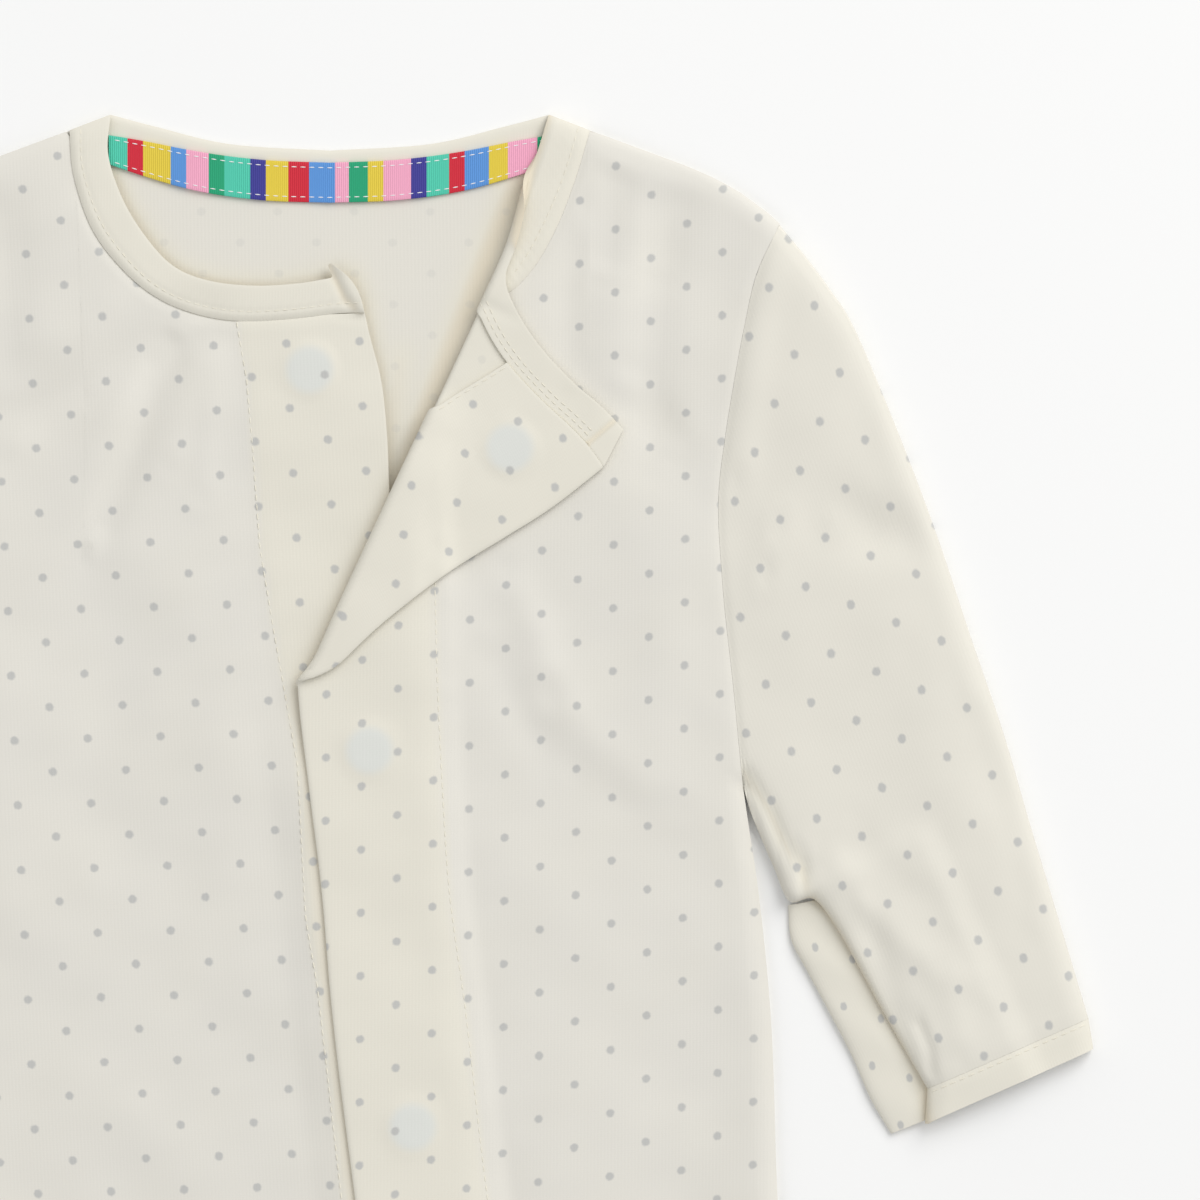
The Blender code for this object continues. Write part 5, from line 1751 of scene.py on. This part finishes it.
# ---- Sleeves --------------------------------------------------------------------------------------
@dataclass
class Arm:
    """A sleeve with its hem band and its mitten cuff, folded to the back."""

    finishes: Wardrobe
    half: Half
    top_columns: int = 44
    rows: int = 110
    hem_rows: int = 8
    rim_steps: int = 4
    seam_gap: float = 0.02
    bow_fades: float = 0.45
    wall: float = 0.75
    mitt_rows: int = 60
    mitt_columns: int = 40
    bulge: float = 0.9
    nominal_fill: float = 0.9
    nominal_mitt: float = 64.0
    mitt_crown: float = 0.66
    mitt_ripple: float = 0.12

    def build(self) -> None:
        """Builds the sleeve, its hem and its mitt."""
        name = self.half.name.lower()
        self.tube(f"{name}_sleeve", SLEEVE, self.rows, True, f"sleeve_{name}", Slot.DOTTED)
        self.tube(
            f"{name}_sleeve_hem", SLEEVE_HEM, self.hem_rows, False, f"sleeve_hem_{name}", Slot.BINDING
        )
        self.mitt(f"{name}_mitt", f"mitt_{name}")

    def across(
        self, stations: Sequence[SleeveStation], bowed: bool, share: Array, along: Array
    ) -> tuple:
        """Gives a flat point of the sleeve.

        Args:
            stations: its sections.
            bowed: whether its upper end follows the armhole.
            share: from its outer fold (0) to its underarm side (1).
            along: from its upper end (0) to its lower end (1).

        Returns:
            The point's x and y.
        """
        outer, inner = (station_curve(stations, name, along) for name in ("outer", "inner"))
        x, y = (a + (b - a) * share for a, b in zip(outer, inner))
        if bowed:
            start = self.across(stations, False, share, 0.0 * along)
            bow = edge("side", start[1]) + self.seam_gap - start[0]
            x = x + bow * (1.0 - smooth_step(along / self.bow_fades))
        return x, y

    def tube(
        self, name: str, stations: Sequence[SleeveStation], rows: int, bowed: bool, node: str,
        slot: Slot,
    ) -> None:
        """Builds a flattened tube of cloth, open at both ends.

        Args:
            name: the piece's name.
            stations: its sections.
            rows: how many rows it has along it.
            bowed: whether its first section follows the armhole.
            node: the CAD node that it stands for.
            slot: the record's slot of its finish.
        """
        shell = Shell(name)
        bm = shell.bm
        top, rim = self.top_columns, self.rim_steps
        around = 2 * (top + rim)
        made, flat = unit_grid(bm, around, rows)
        step = np.round(flat[:, 0] * around).astype(int)
        along = flat[:, 1]
        on_top = step <= top
        on_inner = (step > top) & (step < top + rim)
        on_under = (step >= top + rim) & (step <= 2 * top + rim)
        over = step / top
        under = 1.0 - (step - top - rim) / top
        turn = np.where(on_inner, (step - top) / rim, (step - 2 * top - rim) / rim) * math.pi
        outer, inner = (station_curve(stations, part, along) for part in ("outer", "inner"))
        width = np.hypot(inner[0] - outer[0], inner[1] - outer[1])
        share = np.where(on_top, over, np.where(on_under, under, np.where(on_inner, 1.0, 0.0)))
        pulled = self.bulge / width
        share = pulled + (1.0 - 2.0 * pulled) * share
        out = np.where(on_top | on_under, 0.0, np.sin(turn)) * pulled
        share = share + np.where(on_inner, out, -out)
        x, y = self.across(stations, bowed, share, along)
        upper = LAY.base(x, y) + LAY.cloth
        lower = LAY.mitt_lift(x, y)
        middle, reach = (upper + lower) / 2, (upper - lower) / 2
        rising = np.where(on_inner, np.cos(turn), -np.cos(turn))
        z = np.where(on_top, upper, np.where(on_under, lower, middle + reach * rising))
        for vert, point in zip(made, np.stack([x, y, z], axis=1)):
            vert.co = point
        # painted shade: warm tan along the mitt's valley and the underarm crease, on the sleeve's
        # warmer tone and the hem's doubled tone
        painted_shade = np.maximum(
            LAY.crevice_shade(x, y, np.array(MITT)[:, :2], 2.4),
            0.7 * LAY.crevice_shade(x, y, np.array(UNDERARM_LINE), 1.8),
        )
        plies_and_shade = (1.0 if slot is Slot.BINDING else 0.6) + 0.9 * painted_shade
        states = np.stack([np.full(len(plies_and_shade), FAR), plies_and_shade], axis=1)
        shell.write_maps(np.stack([x, y], axis=1), SLEEVE_PRINT, states)
        bmesh.ops.remove_doubles(bm, verts=bm.verts[:], dist=0.001)
        # A nominal size: the shaped tube's area, and a width figured back from it.
        shell.area = shell.cover()
        length = float(np.hypot(outer[0][0] - outer[0][-1], outer[1][0] - outer[1][-1]))
        length = max(length, LEAST_SIZE)
        shell.size = (shell.area / self.nominal_fill / length, length)
        shell.thicken(self.wall)
        cloth = self.finishes.dotted if slot is Slot.DOTTED else self.finishes.plain
        inside = self.finishes.inside if slot is Slot.DOTTED else self.finishes.plain
        piece = shell.finish([cloth, inside], slot, [node], self.half)
        more = {}
        if slot is Slot.BINDING:
            sewing = Stitching(f"{name}_sewing")
            row = np.linspace(0.02, 0.98, 60)
            px, py = self.across(stations, False, row, 0.0 * row + 0.14)
            path = np.stack([px * self.half.value, py, LAY.base(px, py) + LAY.cloth + 0.06], axis=1)
            sewing.sew(path)
            more["with_pieces"] = [sewing.finish(self.finishes.thread, Slot.BINDING)]
        declare(piece, shell, "laid", ["floor"], **more)

    def profile(self, share: Array) -> tuple[Array, Array, Array]:
        """Gives the mitt's section: its place under the sleeve, outwards, and its height share.

        Args:
            share: from 0, under the sleeve, to 1, at the valley on its upper side.

        Returns:
            The share of its reach under the sleeve, the share of its showing width, and the
            share of its crown.
        """
        knots = (0.0, 0.15, 0.3, 0.42, 0.52, 0.60, 0.68, 0.80, 0.92, 1.0)
        under = np.interp(share, knots, (1.0, 0.5, 0.0, 0.0, 0.0, 0.0, 0.0, 0.0, 0.0, 0.0))
        out = hermite(knots, (0.0, 0.0, 0.0, 0.45, 0.84, 0.97, 0.86, 0.46, 0.04, -0.28), share)
        rise = hermite(knots, (0.0, 0.0, 0.0, 0.0, 0.02, 0.45, 0.84, 1.0, 0.92, 0.72), share)
        return under, np.clip(out, -0.28, 0.97), np.clip(rise, 0.0, 1.0)

    def mitt(self, name: str, node: str) -> None:
        """Builds the mitten cuff: under the sleeve, round its inner side and up beside it.

        Args:
            name: the piece's name.
            node: the CAD node that it stands for.
        """
        shell = Shell(name)
        bm = shell.bm
        made, flat = unit_grid(bm, self.mitt_columns, self.mitt_rows)
        under, out, rise = self.profile(flat[:, 0])
        share = flat[:, 1]
        valley, outer = (bent_line(MITT, name, share) for name in ("valley", "outer"))
        crown = hermite(np.linspace(0.0, 1.0, len(MITT)), [row.crown for row in MITT], share)
        place = valley + (outer - valley) * out[:, None]
        place = place + under[:, None] * LAY.mitt_reach * np.array(LAY.cuff_across)
        height = self.wall / 2 + rise * (self.mitt_crown * crown - self.wall / 2)
        height = height + self.mitt_ripple * rise * np.sin(share * 21.0 + 3.0 * out)
        for vert, point in zip(made, np.column_stack([place, height])):
            vert.co = point
        # painted shade: warmer towards the valley beside the sleeve and where the mitt comes out from
        # under it, on the mitt's doubled tone
        plies_and_shade = 0.9 + 0.6 * smooth_step((flat[:, 0] - 0.88) / 0.12)
        plies_and_shade = plies_and_shade + 0.5 * (1.0 - smooth_step((flat[:, 0] - 0.5) / 0.14))
        states = np.stack([np.full(len(plies_and_shade), FAR), plies_and_shade], axis=1)
        shell.write_maps(place, MITT_PRINT, states)
        # A nominal size: the shaped mitt's area, and a width figured back from it.
        shell.area = shell.cover()
        shell.size = (shell.area / self.nominal_mitt, LAY.mitt_length)
        shell.thicken(self.wall)
        lowest = min(vert.co.z for vert in bm.verts)
        bmesh.ops.translate(bm, verts=bm.verts[:], vec=(0.0, 0.0, 0.02 - lowest))
        piece = shell.finish(
            [self.finishes.dotted, self.finishes.inside], Slot.DOTTED, [node], self.half
        )
        declare(piece, shell, "folded", ["floor"])


# ---- Closures -------------------------------------------------------------------------------------
@dataclass
class Closures:
    """The two rows of closing magnets sealed in the plackets."""

    finishes: Wardrobe
    radius: float = 6.0
    thick: float = 0.9

    def build(self) -> None:
        """Builds every magnet where its placket holds it."""
        for number, (left, right) in enumerate(zip(LEFT_MAGNETS, RIGHT_MAGNETS), start=1):
            depth = LAY.wall + 0.1
            ends = [LAY.left_front(*map(np.float64, left), d) for d in (depth, depth + self.thick)]
            low = min(float(end[2]) for end in ends)
            self.disc(f"magnet_left_{number}", float(ends[0][0]), float(ends[0][1]), low)
            low = float(LAY.base(*right)) - 0.2 - self.thick
            self.disc(f"magnet_right_{number}", *right, low)

    def disc(self, node: str, x: float, y: float, low: float) -> None:
        """Builds one magnet, with its rim rounded.

        Args:
            node: the CAD node that it stands for.
            x: its middle's x.
            y: its middle's y.
            low: its underside's height.
        """
        bm = bmesh.new()
        bmesh.ops.create_cone(
            bm, cap_ends=True, segments=40, radius1=self.radius, radius2=self.radius,
            depth=self.thick,
        )
        rims = [e for e in bm.edges if any(len(face.verts) > 4 for face in e.link_faces)]
        bmesh.ops.bevel(
            bm, geom=rims, offset=0.15, offset_type="OFFSET", segments=2, profile=0.5,
            affect="EDGES", material=-1,
        )
        bmesh.ops.translate(bm, verts=bm.verts[:], vec=(x, y, low + self.thick / 2))
        finish_piece(f"{node}_disc", bm, [self.finishes.magnet], Slot.MAGNET, [node])


# ---- Stage ----------------------------------------------------------------------------------------
@dataclass
class Stage:
    """The pale floor, the studio light and the camera straight above."""

    centre: tuple[float, float] = (70.2, 154.4)
    width: float = 312.0
    distance: float = 2.5
    sensor: float = 36.0
    key_power: float = 122.0
    fill_power: float = 5.0
    sky: float = 0.54

    def build(self) -> None:
        """Builds floor, lights and camera."""
        scene = bpy.context.scene
        scene.view_settings.view_transform = "Standard"
        scene.view_settings.look = "None"
        self.floor()
        world = bpy.data.worlds.new("studio")
        world.use_nodes = True
        sky = world.node_tree.nodes["Background"]
        sky.inputs["Color"].default_value = (0.985, 0.99, 1.0, 1.0)
        sky.inputs["Strength"].default_value = self.sky
        scene.world = world
        self.lamp("key", (2.1, 2.3, 2.7), 3.0, self.key_power, (1.0, 0.995, 0.985))
        self.lamp("fill", (-1.1, -0.7, 1.9), 1.6, self.fill_power, (0.985, 0.99, 1.0))
        data = bpy.data.cameras.new("camera")
        data.sensor_width = self.sensor
        data.lens = self.sensor * self.distance / (self.width * MM)
        data.clip_start, data.clip_end = 0.05, 20.0
        camera = bpy.data.objects.new("camera", data)
        camera.location = (self.centre[0] * MM, self.centre[1] * MM, self.distance)
        scene.collection.objects.link(camera)
        scene.camera = camera

    def floor(self) -> None:
        """Builds the plain floor."""
        bm = bmesh.new()
        bmesh.ops.create_grid(bm, x_segments=1, y_segments=1, size=3.0)
        bmesh.ops.translate(bm, verts=bm.verts[:], vec=(0.0, 0.0, -0.0001))
        mesh = bpy.data.meshes.new("floor")
        bm.to_mesh(mesh)
        bm.free()
        kit = Nodes("pale_floor")
        kit.set(Base_Color=linear(247, 247, 246), Roughness=0.95, Specular_IOR_Level=0.1)
        mesh.materials.append(kit.material)
        floor = bpy.data.objects.new("floor", mesh)
        bpy.context.scene.collection.objects.link(floor)

    def lamp(self, name: str, place: tuple, size: float, power: float, colour: tuple) -> None:
        """Adds a soft square light that looks at the garment.

        Args:
            name: the light's name.
            place: where it hangs from the picture's middle, in metres.
            size: its width in metres.
            power: its power in watts.
            colour: its colour.
        """
        data = bpy.data.lights.new(name, "AREA")
        data.shape, data.size, data.energy, data.color = "SQUARE", size, power, colour
        lamp = bpy.data.objects.new(name, data)
        target = Vector((self.centre[0] * MM, self.centre[1] * MM, 0.0))
        lamp.location = Vector(place) + target
        lamp.rotation_euler = (target - lamp.location).to_track_quat("-Z", "Y").to_euler()
        bpy.context.scene.collection.objects.link(lamp)


def main() -> None:
    """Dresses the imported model."""
    logging.basicConfig(level=logging.INFO, format="%(message)s")
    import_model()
    finishes = Wardrobe()
    for part in (
        Body(finishes), NeckEdge(finishes), Arm(finishes, Half.LEFT), Arm(finishes, Half.RIGHT),
        Closures(finishes), Stage(),
    ):
        part.build()
        LOG.info("%s is built", type(part).__name__)


if __name__ == "__main__":
    main()
